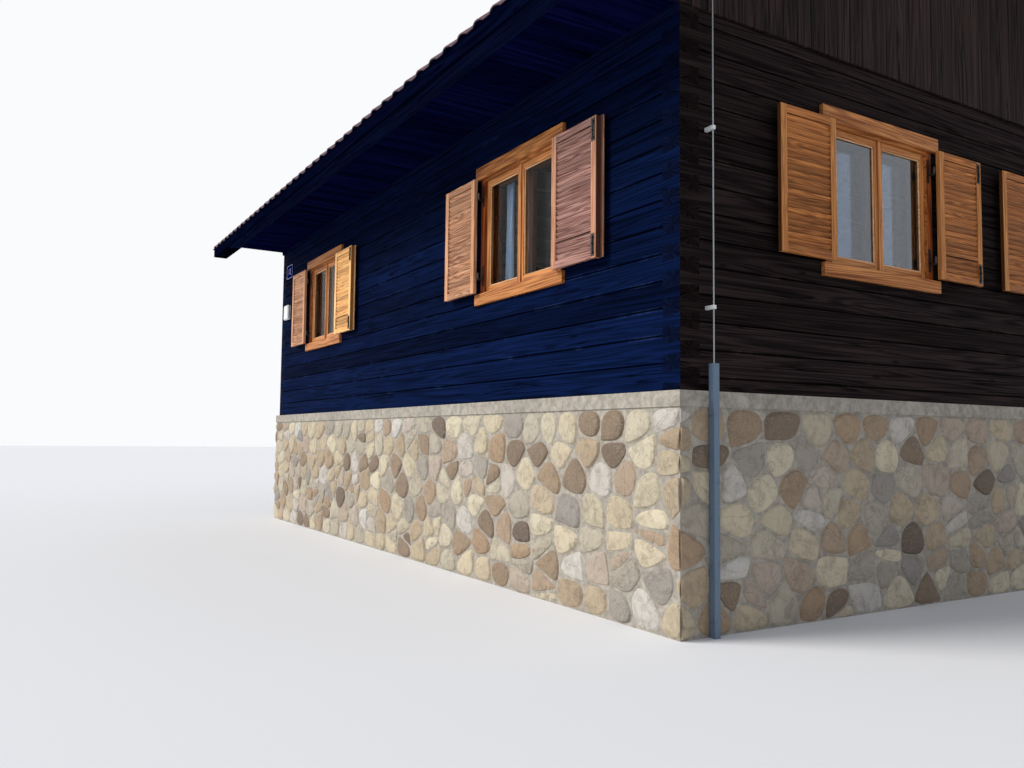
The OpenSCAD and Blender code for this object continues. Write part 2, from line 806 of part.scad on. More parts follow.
curtain_rod_z = win_h + curtain_rod_over;
curtain_rod_y = frame_depth + curtain_rod_out;

module curtains() {
    low = -curtain_drop;
    top = curtain_rod_z - curtain_rod_r - eps;
    middle = win_w / 2 - curtain_in;
    color([0.93, 0.94, 0.97]) front_pair() for (s = [-1, 1])
        translate([s * middle - curtain_w / 2, curtain_rod_y - curtain_t / 2, low])
            cube([curtain_w, curtain_t, top - low]);
}

module curtain_rods() {
    reach = win_w / 2 + casing_out;
    bracket = 16;
    color(golden) front_pair() {
        translate([-reach, curtain_rod_y, curtain_rod_z]) rotate([0, 90, 0])
            cylinder(r = curtain_rod_r, h = 2 * reach, $fn = 32);
        for (s = [-1, 1])
            translate([s * (reach - bracket) - bracket / 2, frame_depth, curtain_rod_z - bracket / 2])
                cube([bracket, curtain_rod_out, bracket]);
    }
}

stone_plinth();
plinth_band();
floor_planks();
front_log_wall();
back_log_wall();
left_log_wall();
right_log_wall();
gable_boarding();
tie_beams();
rafters();
purlins();
roof_boards();
roof_covering_front();
roof_covering_back();
ridge_cap();
soffits();
soffit_trims();
fascias();
bargeboards();
front_window_frames();
front_sashes();
front_glass();
right_window_frames();
right_sashes();
right_glass();
left_window_frames();
left_sashes();
left_glass();
back_window_frames();
back_sashes();
back_glass();
shutter_near_left();
shutter_near_right();
shutter_far_left();
shutter_far_right();
shutter_gable_left();
shutter_gable_right();
irons_near_left();
irons_near_right();
irons_far_left();
irons_far_right();
irons_gable_left();
irons_gable_right();
shutter_pintles();
fixed_shutters();
fixed_shutter_irons();
earthing_rod();
rod_guard();
rod_clips();
number_plate();
wall_box();
curtains();
curtain_rods();
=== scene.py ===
# %% [markdown]
# # An alpine chalet, dressed step by step
# The house stands on a rubble-stone plinth. Its walls are squared logs with dovetailed
# corners, stained blue-black on the long sides and dark brown on the gables. Golden windows
# with louvred shutters stand out against them, under a tiled roof with wide boxed eaves.
# The solids come in as a fixed frame, in metres. This lesson gives each of them its finish
# and adds what is too small for the solids: stones, tiles, boards, beads, screws, a curtain.

# %% Load the solids and keep their box
import random
from itertools import product
from math import cos, dist, exp, floor, hypot, pi, radians, sin, tan
import bmesh
import bpy
import numpy as np
from mathutils import Matrix, Vector
from mathutils.geometry import delaunay_2d_cdt


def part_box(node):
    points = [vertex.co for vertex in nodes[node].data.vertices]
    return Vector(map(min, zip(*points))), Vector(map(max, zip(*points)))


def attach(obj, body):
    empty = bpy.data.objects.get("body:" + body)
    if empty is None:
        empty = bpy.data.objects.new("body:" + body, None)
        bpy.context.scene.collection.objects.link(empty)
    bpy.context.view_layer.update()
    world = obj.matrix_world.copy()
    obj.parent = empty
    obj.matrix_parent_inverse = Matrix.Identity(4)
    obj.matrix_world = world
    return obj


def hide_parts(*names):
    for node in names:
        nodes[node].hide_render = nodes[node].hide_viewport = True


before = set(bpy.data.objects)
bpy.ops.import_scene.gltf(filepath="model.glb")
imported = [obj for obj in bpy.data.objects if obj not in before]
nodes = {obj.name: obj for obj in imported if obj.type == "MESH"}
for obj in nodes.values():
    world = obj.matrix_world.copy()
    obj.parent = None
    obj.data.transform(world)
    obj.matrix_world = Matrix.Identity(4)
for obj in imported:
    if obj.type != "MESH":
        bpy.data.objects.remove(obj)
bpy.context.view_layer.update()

# %% [markdown]
# ## The places that everything else hangs on
# Each size is read from a solid's own box, so that a piece sits where the solid is. Only a
# few fine sizes, such as the slope of the roof, can't be read from a box and are named here.

# %% Read the walls and the roof
wall_low, wall_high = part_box("front_log_wall")
half_len, half_depth = wall_high.x, -wall_low.y
log_t = wall_high.y - wall_low.y
log_base, eaves_z = wall_low.z, wall_high.z
log_count = 14
log_h = (eaves_z - log_base) / log_count
cover_low, cover_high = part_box("roof_covering_front")
eave_y, verge_x = -cover_low.y, cover_high.x
pitch = radians(42)
cover_t, board_t, drip = 0.045, 0.024, 0.032
eave_top = cover_high.z - eave_y * tan(pitch)
print("walls", 2 * half_len, "by", 2 * half_depth, "log height", round(log_h, 4), "eave top", round(eave_top, 3))

# %% Read the windows
head_lap, head_board, sill_rise, sill_board = 0.010, 0.108, 0.016, 0.094
window_x, gable_window_y = half_len - 1.92, half_depth - 1.98
opening_w, opening_h = 1.24, 1.04
sill_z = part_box("front_window_frames")[1].z - head_board + head_lap - opening_h
jamb_w, rail_h, sash_w, sash_gap, sash_in, sash_t = 0.060, 0.030, 0.045, 0.002, 0.024, 0.040
hinge_x, axis_out, leaf_side, leaf_front, leaf_t = 0.585, 0.046, 0.020, 0.005, 0.030
leaf_low, leaf_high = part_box("shutter_near_left")
leaf_w, leaf_h = leaf_high.x - leaf_low.x, leaf_high.z - leaf_low.z
leaf_bottom = leaf_low.z - sill_z
stile_w, slat_pitch, leaf_rail = 0.058, 0.042, 0.056
print("window sill at", round(sill_z, 3), "leaf", round(leaf_w, 3), "by", round(leaf_h, 3))

# %% [markdown]
# ## The viewpoint
# The picture is taken from in front of the near corner, low down and looking slightly up. The
# place and the turn were worked out from the corners of the windows. The lens gives the
# frame's width of 1024 at a reach of 850.

# %% Set up the camera
scene = bpy.context.scene


def turned(x, y, z, degrees, axis):
    return Matrix.Translation((x, y, z)) @ Matrix.Rotation(radians(degrees), 4, axis)


def show(name, data):
    thing = bpy.data.objects.new(name, data)
    scene.collection.objects.link(thing)
    return thing


picture_w, reach = 1024, 850
camera_data = bpy.data.cameras.new("viewpoint")
camera_data.lens = camera_data.sensor_width * reach / picture_w
camera_data.clip_end = 400
camera = show("viewpoint", camera_data)
camera.matrix_world = (turned(8.223, -6.849, 1.190, 58.94, "Z") @ turned(0, 0, 0, 90 + 3.71, "X")
                       @ turned(0, 0, 0, 0.62, "Z"))
scene.camera = camera
print("lens", round(camera_data.lens, 2))

# %% [markdown]
# ## Tools for finishes
# A finish is a small tree of nodes on the one standard shader. The helpers below work on the
# tree of the finish that was started last. A Value stands for what a node gives out, and a
# sum written with Values adds the nodes for it, so that each finish reads as a recipe.

# %% Values and the sums on them
class Value:
    def __init__(self, socket):
        self.socket = socket

    def other(self, name):
        """Another output of the same node."""
        return Value(self.socket.node.outputs[name])

    def __add__(self, more):
        return calc("ADD", self, more)

    def __sub__(self, less):
        return calc("SUBTRACT", self, less)

    def __mul__(self, times):
        return calc("MULTIPLY", self, times)

    def __truediv__(self, share):
        return calc("DIVIDE", self, share)

    def __gt__(self, limit):
        return calc("GREATER_THAN", self, limit)

    def __lt__(self, limit):
        return calc("LESS_THAN", self, limit)

    def __abs__(self):
        return calc("ABSOLUTE", self)


def feed(node, wires):
    """Fills inputs of a node, each with a plain value or with a Value."""
    for key, value in wires.items():
        if isinstance(value, Value):
            tree.links.new(value.socket, node.inputs[key])
        else:
            node.inputs[key].default_value = value


def put(kind, wires, give=0, **settings):
    node = tree.nodes.new("ShaderNode" + kind)
    for key, value in settings.items():
        setattr(node, key, value)
    feed(node, wires)
    return Value(node.outputs[give])


def calc(operation, *values):
    return put("Math", dict(enumerate(values)), operation=operation)


print("sums ready")


# %% Colours, mixes and noise
def paint(r, g, b, share=1.0):
    """A colour as it is seen, 0 to 255, turned into the light values that a shader takes."""
    seen_values = [c / 255 for c in (r, g, b)]
    light = [v / 12.92 if v <= 0.04045 else ((v + 0.055) / 1.055) ** 2.4 for v in seen_values]
    return (*(v * share for v in light), 1.0)


def fade(value, low, high, start=0.0, end=1.0):
    """start at low, end at high, smooth in between."""
    return put("MapRange", {0: value, 1: low, 2: high, 3: start, 4: end}, interpolation_type="SMOOTHSTEP")


def mixed(share, first, second, way="MIX"):
    return put("Mix", {0: share, 6: first, 7: second}, give=2, data_type="RGBA", blend_type=way)


def pick(which, first, second):
    return put("Mix", {0: which, 2: first, 3: second})


def ramp(value, *stops):
    tint = put("ValToRGB", {0: value})
    bar = tint.socket.node.color_ramp
    while len(bar.elements) < len(stops):
        bar.elements.new(0.5)
    for element, (place, colour) in zip(bar.elements, stops):
        element.position, element.color = place, paint(*colour)
    return tint


def noise(vector, scale, detail=4.0, roughness=0.55, distortion=0.0):
    return put("TexNoise", {"Vector": vector, "Scale": scale, "Detail": detail, "Roughness": roughness,
                            "Distortion": distortion})


def by_chance(value):
    return put("TexWhiteNoise", {"W": value}, give="Value", noise_dimensions="1D")


def axes_of(vector):
    x = put("SeparateXYZ", {0: vector})
    return [x, x.other(1), x.other(2)]


def joined(x, y=0.0, z=0.0):
    return put("CombineXYZ", {0: x, 1: y, 2: z})


def new_finish(name):
    """Starts a finish: tree, shader and spot (the place on the piece) are its own from here on."""
    global tree, shader, spot
    material = bpy.data.materials.new(name)
    material.use_nodes = True
    tree = material.node_tree
    shader = tree.nodes["Principled BSDF"]
    spot = put("TexCoord", {}, give="Object")
    return material


def relief(height, depth, strength=0.6):
    feed(shader, {"Normal": put("Bump", {"Height": height, "Strength": strength, "Distance": depth})})


def own_tone(*_):
    """The number from 0 to 1 that each board, stone or tile was given when it was made."""
    return put("Attribute", {}, give="Fac", attribute_name="tone")


print("helpers ready")

# %% [markdown]
# ## Light and ground
# A plain studio: a wide pale floor, a white surround, an even sky light and one far lamp with
# soft shadows. Only the viewpoint, mirrors and glass see the white surround, so it adds no
# light of its own, and a colour renders about as it is written.

# %% Floor, surround and lamp
world = bpy.data.worlds.new("studio")
world.use_nodes = True
scene.world = world
scene.view_settings.view_transform = "Standard"
tree = world.node_tree
tree.nodes.clear()
even = put("Background", {"Color": paint(226, 232, 244), "Strength": 0.58})
surround = put("Background", {"Color": paint(250, 251, 253)})
seen = put("LightPath", {}, give="Is Camera Ray")
mirrored, through = seen.other("Is Glossy Ray"), seen.other("Is Transmission Ray")
seen = calc("MAXIMUM", calc("MAXIMUM", seen, mirrored), through)
either = put("MixShader", {0: seen, 1: even, 2: surround})
feed(tree.nodes.new("ShaderNodeOutputWorld"), {0: either})

ground_mesh = bpy.data.meshes.new("studio_floor")
reach_out = 90
ground_corners = [(x * reach_out, y * reach_out, 0) for x, y in ((-1, -1), (1, -1), (1, 1), (-1, 1))]
ground_mesh.from_pydata(ground_corners, [], [(0, 1, 2, 3)])
ground = show("studio_floor", ground_mesh)
ground_mesh.materials.append(new_finish("studio_floor"))
feed(shader, {"Base Color": paint(228, 229, 231), "Roughness": 0.9})

lamp_data = bpy.data.lights.new("soft_lamp", "SUN")
lamp_data.energy, lamp_data.angle = 3.2, radians(30)
lamp_data.color = (1.0, 0.97, 0.93)
lamp = show("soft_lamp", lamp_data)
lamp_from = Vector((-0.42, -0.78, 0.60))
lamp.rotation_euler = (-lamp_from).to_track_quat("-Z", "Y").to_euler()
print("studio ready")

# %% [markdown]
# ## Wood
# Wood is a stretched noise: long along the board, fine across it. Contour lines of a softer
# noise give the year rings, dark spots the knots, and thin contour bands the drying cracks.
# One recipe makes the logs, the boards and the golden joinery: only colours, direction and
# the amount of each mark change. Masks turn the grain upright in stiles and jambs and put
# round year rings on the sawn log ends.

# %% The wood recipe
def wall_axes(x, y):
    """The axis along the wall, the axis out of it, and 1 in a gable wall or 0 in a long one."""
    gable = abs(x) > half_len - 0.5
    return pick(gable, x, y), pick(gable, y, x), gable


def stretched(xyz, lay, run, across):
    x, y, z = xyz
    if lay == "slope":
        out = abs(y)
        along = z * sin(pitch) - out * cos(pitch)
        x, y, z, lay = x, along, z * cos(pitch) + out * sin(pitch), "y"
    if lay == "level":
        x, y, _ = wall_axes(x, y)
        lay = "x"
    scales = {"x": (run, across, across), "y": (across, run, across), "z": (across, across, run)}[lay]
    return put("VectorMath", {0: joined(x, y, z), 1: scales}, operation="MULTIPLY")


def wood(name, dark, light, lay, upright=None, member=own_tone, layers=(), ends=None, knots=0.5, cracks=0.0,
         rough=0.55, shine=0.35, run=0.8, across=22.0, depth=0.0015, spread=0.5):
    """A timber finish. dark and light tint the grain and lay is the way it runs, but for the spots that
    the mask upright picks. member gives the tone of each log or board. Each of the layers is a mask
    and what it lays over the first tint: one colour, or the dark and light of another stain."""
    material = new_finish(name)
    xyz = axes_of(spot)
    mask = upright(*xyz) if upright else None
    tone = member(*xyz)
    away = joined(tone * 31.0, tone * 17.0, tone * 23.0)

    def field(run_scale, across_scale):
        place = stretched(xyz, lay, run_scale, across_scale)
        if upright:
            standing = stretched(xyz, "z", run_scale, across_scale)
            place = put("Mix", {0: mask, 4: place, 5: standing}, give=1, data_type="VECTOR")
        return put("VectorMath", {0: place, 1: away}, operation="ADD")

    def stain(dark, light):
        return ramp(pattern, (0.28, dark), (0.72, light))

    fibre = field(run, across)
    streaks = noise(fibre, 1.0, 6.0, 0.62, 0.2)
    soft = noise(fibre, 0.5, 1.0, 0.5, 0.3)
    rings = calc("SINE", soft * 60.0) * 0.5 + 0.5
    pattern = streaks * 0.7 + rings * 0.3
    height = pattern * 0.5
    tint = stain(dark, light)
    for where, over in layers:
        tint = mixed(where(*xyz), tint, stain(*over) if len(over) == 2 else over)
    shade = tone * spread + (1.0 - spread / 2)
    tint = mixed(1.0, tint, put("CombineColor", {0: shade, 1: shade, 2: shade}), "MULTIPLY")
    if knots:
        cells = put("TexVoronoi", {"Vector": field(2.4, 8.0), "Scale": 1.0})
        rare = put("SeparateColor", {0: cells.other("Color")}) > 1 - knots
        spots = fade(cells, 0.05, 0.16, 1.0, 0.0) * rare
        tint = mixed(spots * 0.7, tint, paint(*dark, 0.35))
    if cracks:
        lines = noise(field(run * 0.55, across * 0.62), 1.0, 3.0, 0.5, 0.15)
        some = fade(noise(field(0.9, 3.0), 1.0, 2.0), 0.47, 0.60)
        split = fade(abs(lines - 0.5), 0.004 * cracks, 0.014 * cracks, 1.0, 0.0) * some
        tint = mixed(split * 0.85, tint, paint(*dark, 0.15))
        height = height - split * 2.2
    if ends:
        sawn, ring_tint, ring_height = ends(*xyz)
        tint = mixed(sawn, tint, ring_tint)
        height = pick(sawn, height, ring_height)
    feed(shader, {"Base Color": tint, "Roughness": fade(streaks, 0.3, 0.7, rough + 0.1, rough - 0.06),
                  "Specular IOR Level": shine})
    relief(height, depth)
    return material


def dress(material, *names):
    """Gives these solids a finish, in place of the plain one that they came with."""
    for name in names:
        nodes[name].data.materials.clear()
        nodes[name].data.materials.append(material)
    print(material.name, "on", len(names), "solids")

# %% [markdown]
# ## The log walls
# The long walls carry a navy stain, nearly black, and the gable walls an umber one, over long
# drying cracks. The logs were stained wall by wall, so the dovetailed ends that show on a wall
# take that wall's colour. Each log has a tone of its own. Dirt and painted shade darken the
# seams between the courses, the edges beside them are worn paler here and there and carry a
# painted highlight, and indoors the wood is painted dark brown, as the shade inside the house.

# %% The log finish
# The third pair is the wood indoors, painted dark as the shade inside the house.
navy, umber, room_shade = ((3, 10, 30), (8, 22, 57)), ((14, 11, 12), (46, 37, 36)), ((24, 14, 9), (56, 36, 23))


def indoors(x, y, z):
    skin = log_t - 0.004
    return (abs(x) < half_len - skin) * (abs(y) < half_depth - skin)


def log_finish(name, along, shift, own, other, worn_edge_highlight_tint, **marks):
    """Logs that run along X (along 0) or Y (along 1); their courses start `shift` below the wall."""
    first = log_base - shift

    def number(z):
        return calc("FLOOR", (z - first) / log_h)

    def tone_by_log(x, y, z):
        return by_chance(number(z) + 0.37)

    def from_joint(z):
        return abs(calc("FRACT", (z - first) / log_h + 0.5) - 0.5) * log_h

    # Darker seams between the courses: dirt and painted shade.
    def joint_dirt_and_shade(x, y, z):
        return fade(from_joint(z), 0.004, 0.008, 0.85, 0.0)

    # Paler edges beside the seams and at the corners: worn wood and a painted highlight.
    def worn_and_highlit_edges(x, y, z):
        line = fade(from_joint(z), 0.009, 0.016, 1.0, 0.0)
        corner_x = fade(abs(x), half_len - 0.006, half_len - 0.001)
        corner_y = fade(abs(y), half_depth - 0.006, half_depth - 0.001)
        edge = calc("MAXIMUM", line, corner_x * corner_y)
        return edge * fade(noise(spot, 2.6, 5.0, 0.7), 0.52, 0.70) * 0.45

    def sawn_ends(x, y, z):
        """Year rings and radial cracks round the heart of each log, which is a little off its middle."""
        facing = axes_of(put("TexCoord", {}, give="Normal"))[along]
        heart = (half_len if along else half_depth) - log_t * 0.5
        count = number(z)
        chance = by_chance(count + 7.3)
        sideways = abs(x if along else y) - heart + (chance * 0.05 - 0.025)
        upward = z - ((count + 0.5) * log_h + first)
        far = calc("SQRT", sideways * sideways + upward * upward) + noise(spot, 14.0, 3.0) * 0.016
        rings = calc("SINE", far * 700.0) * 0.5 + 0.5
        angle = calc("ARCTAN2", upward, sideways)
        spokes = noise(joined(angle * 2.2, count * 5.0), 2.0, 4.0, 0.7)
        split = fade(abs(spokes - 0.5), 0.006, 0.03, 1.0, 0.0)
        dark, light = other
        tint = mixed(split, ramp(rings, (0.2, dark), (0.9, light)), paint(*dark, 0.2))
        return abs(facing) > 0.7, tint, rings * 0.25 - split * 2.0

    # Layers: the wood indoors painted dark as shade, the worn and highlit edges, and seams of dirt and painted shade.
    layers = ((indoors, room_shade), (worn_and_highlit_edges, worn_edge_highlight_tint), (joint_dirt_and_shade, paint(*own[0], 0.1)))
    return wood(name, *own, "xy"[along], member=tone_by_log, ends=sawn_ends, layers=layers, cracks=1.0,
                rough=0.6, run=0.7, depth=0.002, **marks)


# The fourth colour of each wall is its paler edge, worn and with a painted highlight.
dress(log_finish("navy_logs", 0, 0.0, navy, umber, paint(44, 62, 106), knots=0.25, shine=0.004, across=26.0,
                 spread=0.8), "front_log_wall", "back_log_wall")
dress(log_finish("umber_logs", 1, log_h / 2, umber, navy, paint(84, 68, 60), knots=0.3, shine=0.012,
                 across=24.0, spread=0.6), "left_log_wall", "right_log_wall")

# %% [markdown]
# ## Golden windows
# The windows are pine under a golden glaze, with upright grain in jambs and stiles and level
# grain in heads, sills and rails. The jambs are redder, and darker with painted shade of their
# reveals. The inner sashes and the lining behind the panes are painted darker, as their shade.
# One set of masks, measured from the middle of a window, serves all eight.

# %% Grain masks and the golden finish
def from_middle(x, y):
    """How far a spot is past the middle of its window, toward the corner of the house."""
    along, _, gable = wall_axes(x, y)
    return abs(along) - pick(gable, window_x, gable_window_y)


def second_window(x, y):
    """1 at the window on the positive side of its wall, 0 at the other."""
    return wall_axes(x, y)[0] > 0.0


def jambs(x, y, z):
    aside = abs(from_middle(x, y))
    sides_only = (aside > opening_w / 2 - jamb_w) * (aside < opening_w / 2 + 0.001)
    return sides_only * ((z > sill_z + sill_rise) * (z < sill_z + opening_h - head_lap))


def stiles(x, y, z):
    aside = abs(from_middle(x, y))
    return calc("MAXIMUM", aside < sash_w + sash_gap, aside > opening_w / 2 - jamb_w - sash_gap - sash_w)


def tone_by_member(x, y, z):
    """Head board, sill board and the left and right half between them differ in tone."""
    layer = calc("FLOOR", (z - (sill_z + sill_rise)) / (opening_h - head_lap - sill_rise))
    half = (from_middle(x, y) > 0.0) * (abs(layer) < 0.5)
    return by_chance(layer * 7.0 + second_window(x, y) * 41.0 + half)


def behind_panes(x, y, z):
    _, out, gable = wall_axes(x, y)
    return pick(gable, half_depth, half_len) - abs(out) > sash_in + sash_t


def joinery(name, dark, light, upright, **marks):
    return wood(name, dark, light, "level", upright=upright, run=1.1, **marks)


# Inner sashes and lining behind the panes are painted darker, as their shade.
shade_behind_glass = (behind_panes, ((66, 30, 12), (128, 70, 32)))
# Jambs: a redder glaze, darkened with painted shade of the reveals.
redder_jambs_in_shade = (jambs, ((98, 40, 14), (176, 90, 38)))
golden = joinery("golden_frame", (124, 66, 28), (204, 136, 76), jambs, layers=(redder_jambs_in_shade, shade_behind_glass),
                 member=tone_by_member, knots=0.4, rough=0.42, shine=0.14, across=30.0, depth=0.0006, spread=0.22)
honey = joinery("honey_sash", (150, 88, 44), (218, 150, 88), stiles, layers=(shade_behind_glass,), member=tone_by_member,
                knots=0.3, rough=0.4, shine=0.16, across=34.0, depth=0.0005, spread=0.2)
pale = joinery("pale_bead", (198, 144, 96), (242, 196, 152), stiles, knots=0.0, rough=0.4, shine=0.16,
               across=40.0, depth=0.0004, spread=0.2)
walls = ("front", "back", "left", "right")
dress(golden, *[wall + "_window_frames" for wall in walls], "curtain_rods")
dress(honey, *[wall + "_sashes" for wall in walls])

# %% [markdown]
# ## Glass
# The panes are clear glass before a dark room. Dark trees stand in front of the long wall, so
# its panes mirror next to nothing, with a low index of refraction. The other panes mirror the
# bright sky, with a higher index, and their faint blue tint is a painted reflection of the sky.

# %% The glass finish
def pane_glass(name, index, tint):
    material = new_finish(name)
    feed(shader, {"Base Color": tint, "Roughness": 0.0, "IOR": index, "Transmission Weight": 1.0})
    return material


dress(pane_glass("quiet_pane", 1.1, paint(249, 252, 252)), "front_glass")
# The faint blue tint is a painted reflection of the sky.
dress(pane_glass("bright_pane", 1.6, paint(220, 236, 255)), "back_glass", "left_glass", "right_glass")

# %% [markdown]
# ## Louvred shutters
# The leaves are larch under one red-brown glaze, and their different casts are painted light:
# the near right one is painted pinker as in cold shade, the far right one carries painted
# sunlight, and those of the gable and the fixed ones are painted redder as in the shade of trees.
# Stiles are lighter than slats, and the free edge is darkened with painted shade. Every slat
# takes a tone from its height and has a dark line under the lip of the next one, of grime and
# painted shade. The slats of a right leaf start above a low rail, so the masks first ask which
# leaf it is.

# %% The shutter finishes
low_rail_top = 0.222
lowest_slat = [leaf_low.z + start + (leaf_h - leaf_rail - start) % slat_pitch / 2
               for start in (leaf_rail, low_rail_top)]
print("lowest slats at", [round(z, 3) for z in lowest_slat])


def slat_count(x, y, z):
    """The number of the slat at a spot, with the share of its height as a fraction."""
    along, _, gable = wall_axes(x, y)
    right_hand = from_middle(x, y) * along * pick(gable, y * -1.0, x) > 0.0
    return (z - pick(right_hand, *lowest_slat)) / slat_pitch


def leaf_stiles(x, y, z):
    leaf_middle = hinge_x + leaf_side + leaf_w / 2
    return abs(abs(from_middle(x, y)) - leaf_middle) > leaf_w / 2 - stile_w


def end_face(x, y):
    """The free edge of a leaf and the rebate of its strip, which take painted shade."""
    _, out, gable = wall_axes(x, y)
    past = abs(from_middle(x, y)) - (hinge_x + leaf_side + leaf_w)
    edge_middle, edge_half, strip_reach = -leaf_low.y - 0.022, 0.019, 0.036
    off = abs(abs(out) - pick(gable, edge_middle, edge_middle + half_len - half_depth))
    return (past > -0.0015) * (past < strip_reach) * (off < edge_half)


def tone_by_slat(x, y, z):
    total = calc("FLOOR", slat_count(x, y, z)) + (from_middle(x, y) > 0.0) * 57.0
    return pick(leaf_stiles(x, y, z), by_chance(total + second_window(x, y) * 113.0), 0.55)


# A dark line under each slat's lip, of grime and painted shade, and painted shade on the free edge.
def lip_and_edge_shade_with_grime(x, y, z):
    line = fade(calc("FRACT", slat_count(x, y, z)), 0.80, 0.93)
    slats = leaf_stiles(x, y, z) < 0.5
    inside = (z > leaf_low.z + leaf_rail) * (z < leaf_high.z - leaf_rail) * slats
    return calc("MAXIMUM", line * inside * 0.75, end_face(x, y) * 0.9)


# The amber finish is the glaze in plain light; the other three are the same glaze with painted light: cold shade on
# the near right leaf, sunlight on the far right one, and the shade of trees on the gable and fixed leaves.
for name, dark, light, stile_dark, stile_light, leaves in (
        ("cold_shade_rose_leaf", (104, 62, 56), (190, 146, 132), (146, 94, 66), (208, 154, 122), ["shutter_near_right"]),
        ("amber_leaf", (138, 88, 58), (222, 168, 130), (166, 110, 74), (228, 176, 134),
         ["shutter_near_left", "shutter_far_left"]),
        ("painted_sun_leaf", (212, 138, 74), (255, 208, 134), (222, 150, 86), (255, 218, 150), ["shutter_far_right"]),
        ("tree_shade_russet_leaf", (124, 70, 34), (200, 128, 68), (148, 88, 44), (212, 146, 82),
         ["shutter_gable_left", "shutter_gable_right", "fixed_shutters"])):
    # The second layer paints the shade and grime lines darker than the slats.
    layers = ((leaf_stiles, (stile_dark, stile_light)), (lip_and_edge_shade_with_grime, paint(*dark, 0.35)))
    dress(wood(name, dark, light, "level", upright=leaf_stiles, member=tone_by_slat, layers=layers, knots=0.2,
               rough=0.5, shine=0.15, run=1.8, across=62.0, depth=0.0008), *leaves)

# %% [markdown]
# ## Iron, zinc, plastic and enamel
# Straps, eyes and pintles are iron under dull black paint with a little rust. The earthing rod
# is galvanised, its guard is painted blue-grey, the clips and the small wall box are white
# plastic, and the number plate is blue enamel.

# %% Small metal and plastic finishes
def coated(name, base, worn, roughness, metal=0.0, grain_size=60.0, depth=0.0004, shine=0.5):
    material = new_finish(name)
    grit = noise(spot, grain_size, 6.0, 0.65)
    patches = fade(noise(spot, grain_size * 0.2, 5.0, 0.7), 0.55, 0.75)
    feed(shader, {"Base Color": mixed(patches, paint(*base), paint(*worn)),
                  "Roughness": fade(grit, 0.3, 0.7, roughness - 0.08, roughness + 0.12),
                  "Metallic": metal, "Specular IOR Level": shine})
    relief(grit, depth, 0.5)
    return material


iron = coated("black_iron", (22, 22, 24), (52, 38, 32), 0.45)
zinc = coated("zinc_rod", (150, 154, 158), (112, 116, 120), 0.45, metal=0.8)
guard_paint = coated("blue_grey_paint", (96, 116, 136), (72, 84, 96), 0.5)
plastic = coated("white_plastic", (228, 229, 226), (198, 198, 192), 0.4, grain_size=25.0)
enamel = coated("blue_enamel", (9, 18, 98), (6, 12, 72), 0.35, grain_size=12.0, depth=0.0002, shine=0.0)
white_paint = coated("white_digits", (206, 210, 238), (178, 184, 222), 0.4, shine=0.1)
dress(iron, *[name for name in nodes if name.startswith("irons_")], "shutter_pintles", "fixed_shutter_irons")
dress(zinc, "earthing_rod")
dress(guard_paint, "rod_guard")
dress(plastic, "rod_clips")
dress(enamel, "number_plate")

# %% [markdown]
# ## A way to build many small solids
# Boards, beads and screws come in hundreds. A heap collects their points, gives each one its
# own tone and makes a single piece of them, which keeps the scene small and quick.

# %% The planed block and the peg
def block(low, high, edge=0.003):
    """A box with planed-off edges: each corner has one point on each of its three faces."""
    corners = list(product((0, 1), repeat=3))
    points = [[(low[a], high[a])[c[a]] + (0 if a == own else (edge, -edge)[c[a]]) for a in range(3)]
              for c in corners for own in range(3)]

    def at(own, *sides):
        side = dict(sides)
        return 3 * (4 * side[0] + 2 * side[1] + side[2]) + own

    faces = [[3 * n, 3 * n + 1, 3 * n + 2] for n in range(8)]
    for a, b, d in ((0, 1, 2), (1, 2, 0), (2, 0, 1)):
        for s in (0, 1):
            faces.append([at(a, (a, s), (b, p), (d, q)) for p, q in ((0, 0), (1, 0), (1, 1), (0, 1))])
        for p, q in product((0, 1), repeat=2):
            faces.append([at(own, (a, s), (b, p), (d, q)) for own, s in ((b, 0), (b, 1), (d, 1), (d, 0))])
    return points, faces


def circle(sides):
    return [(cos(2 * pi * k / sides), sin(2 * pi * k / sides)) for k in range(sides)]


def band(low, high, sides):
    """The faces between two rings of points, whose first points are low and high."""
    return [[low + k, low + (k + 1) % sides, high + (k + 1) % sides, high + k] for k in range(sides)]


def peg(radius, height, dome=0.0, sides=12):
    """A round peg along +Z from z = 0, with a domed head if dome is above 0."""
    rings = [(radius, 0.0), (radius, height)]
    if dome:
        rings += [(radius * 0.8, height + dome * 0.6), (radius * 0.42, height + dome * 0.92)]
    points = [[r * c, r * s, z] for r, z in rings for c, s in circle(sides)]
    points.append([0, 0, height + dome])
    last = (len(rings) - 1) * sides
    faces = [face for n in range(len(rings) - 1) for face in band(n * sides, (n + 1) * sides, sides)]
    faces += [[last + k, last + (k + 1) % sides, len(points) - 1] for k in range(sides)]
    faces.append(list(range(sides - 1, -1, -1)))
    return points, faces


print("block has", len(block((0, 0, 0), (1, 1, 1))[1]), "faces")


# %% The heap, and nets of faces
def add_piece(mesh, material, body="house", stands_for=()):
    """Makes a piece of a mesh and lets it ride with a body of the frame."""
    mesh.materials.clear()
    mesh.materials.append(material)
    piece = show(mesh.name, mesh)
    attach(piece, body)
    if stands_for:
        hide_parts(*stands_for)
    print(piece.name, len(mesh.polygons), "faces")
    return piece


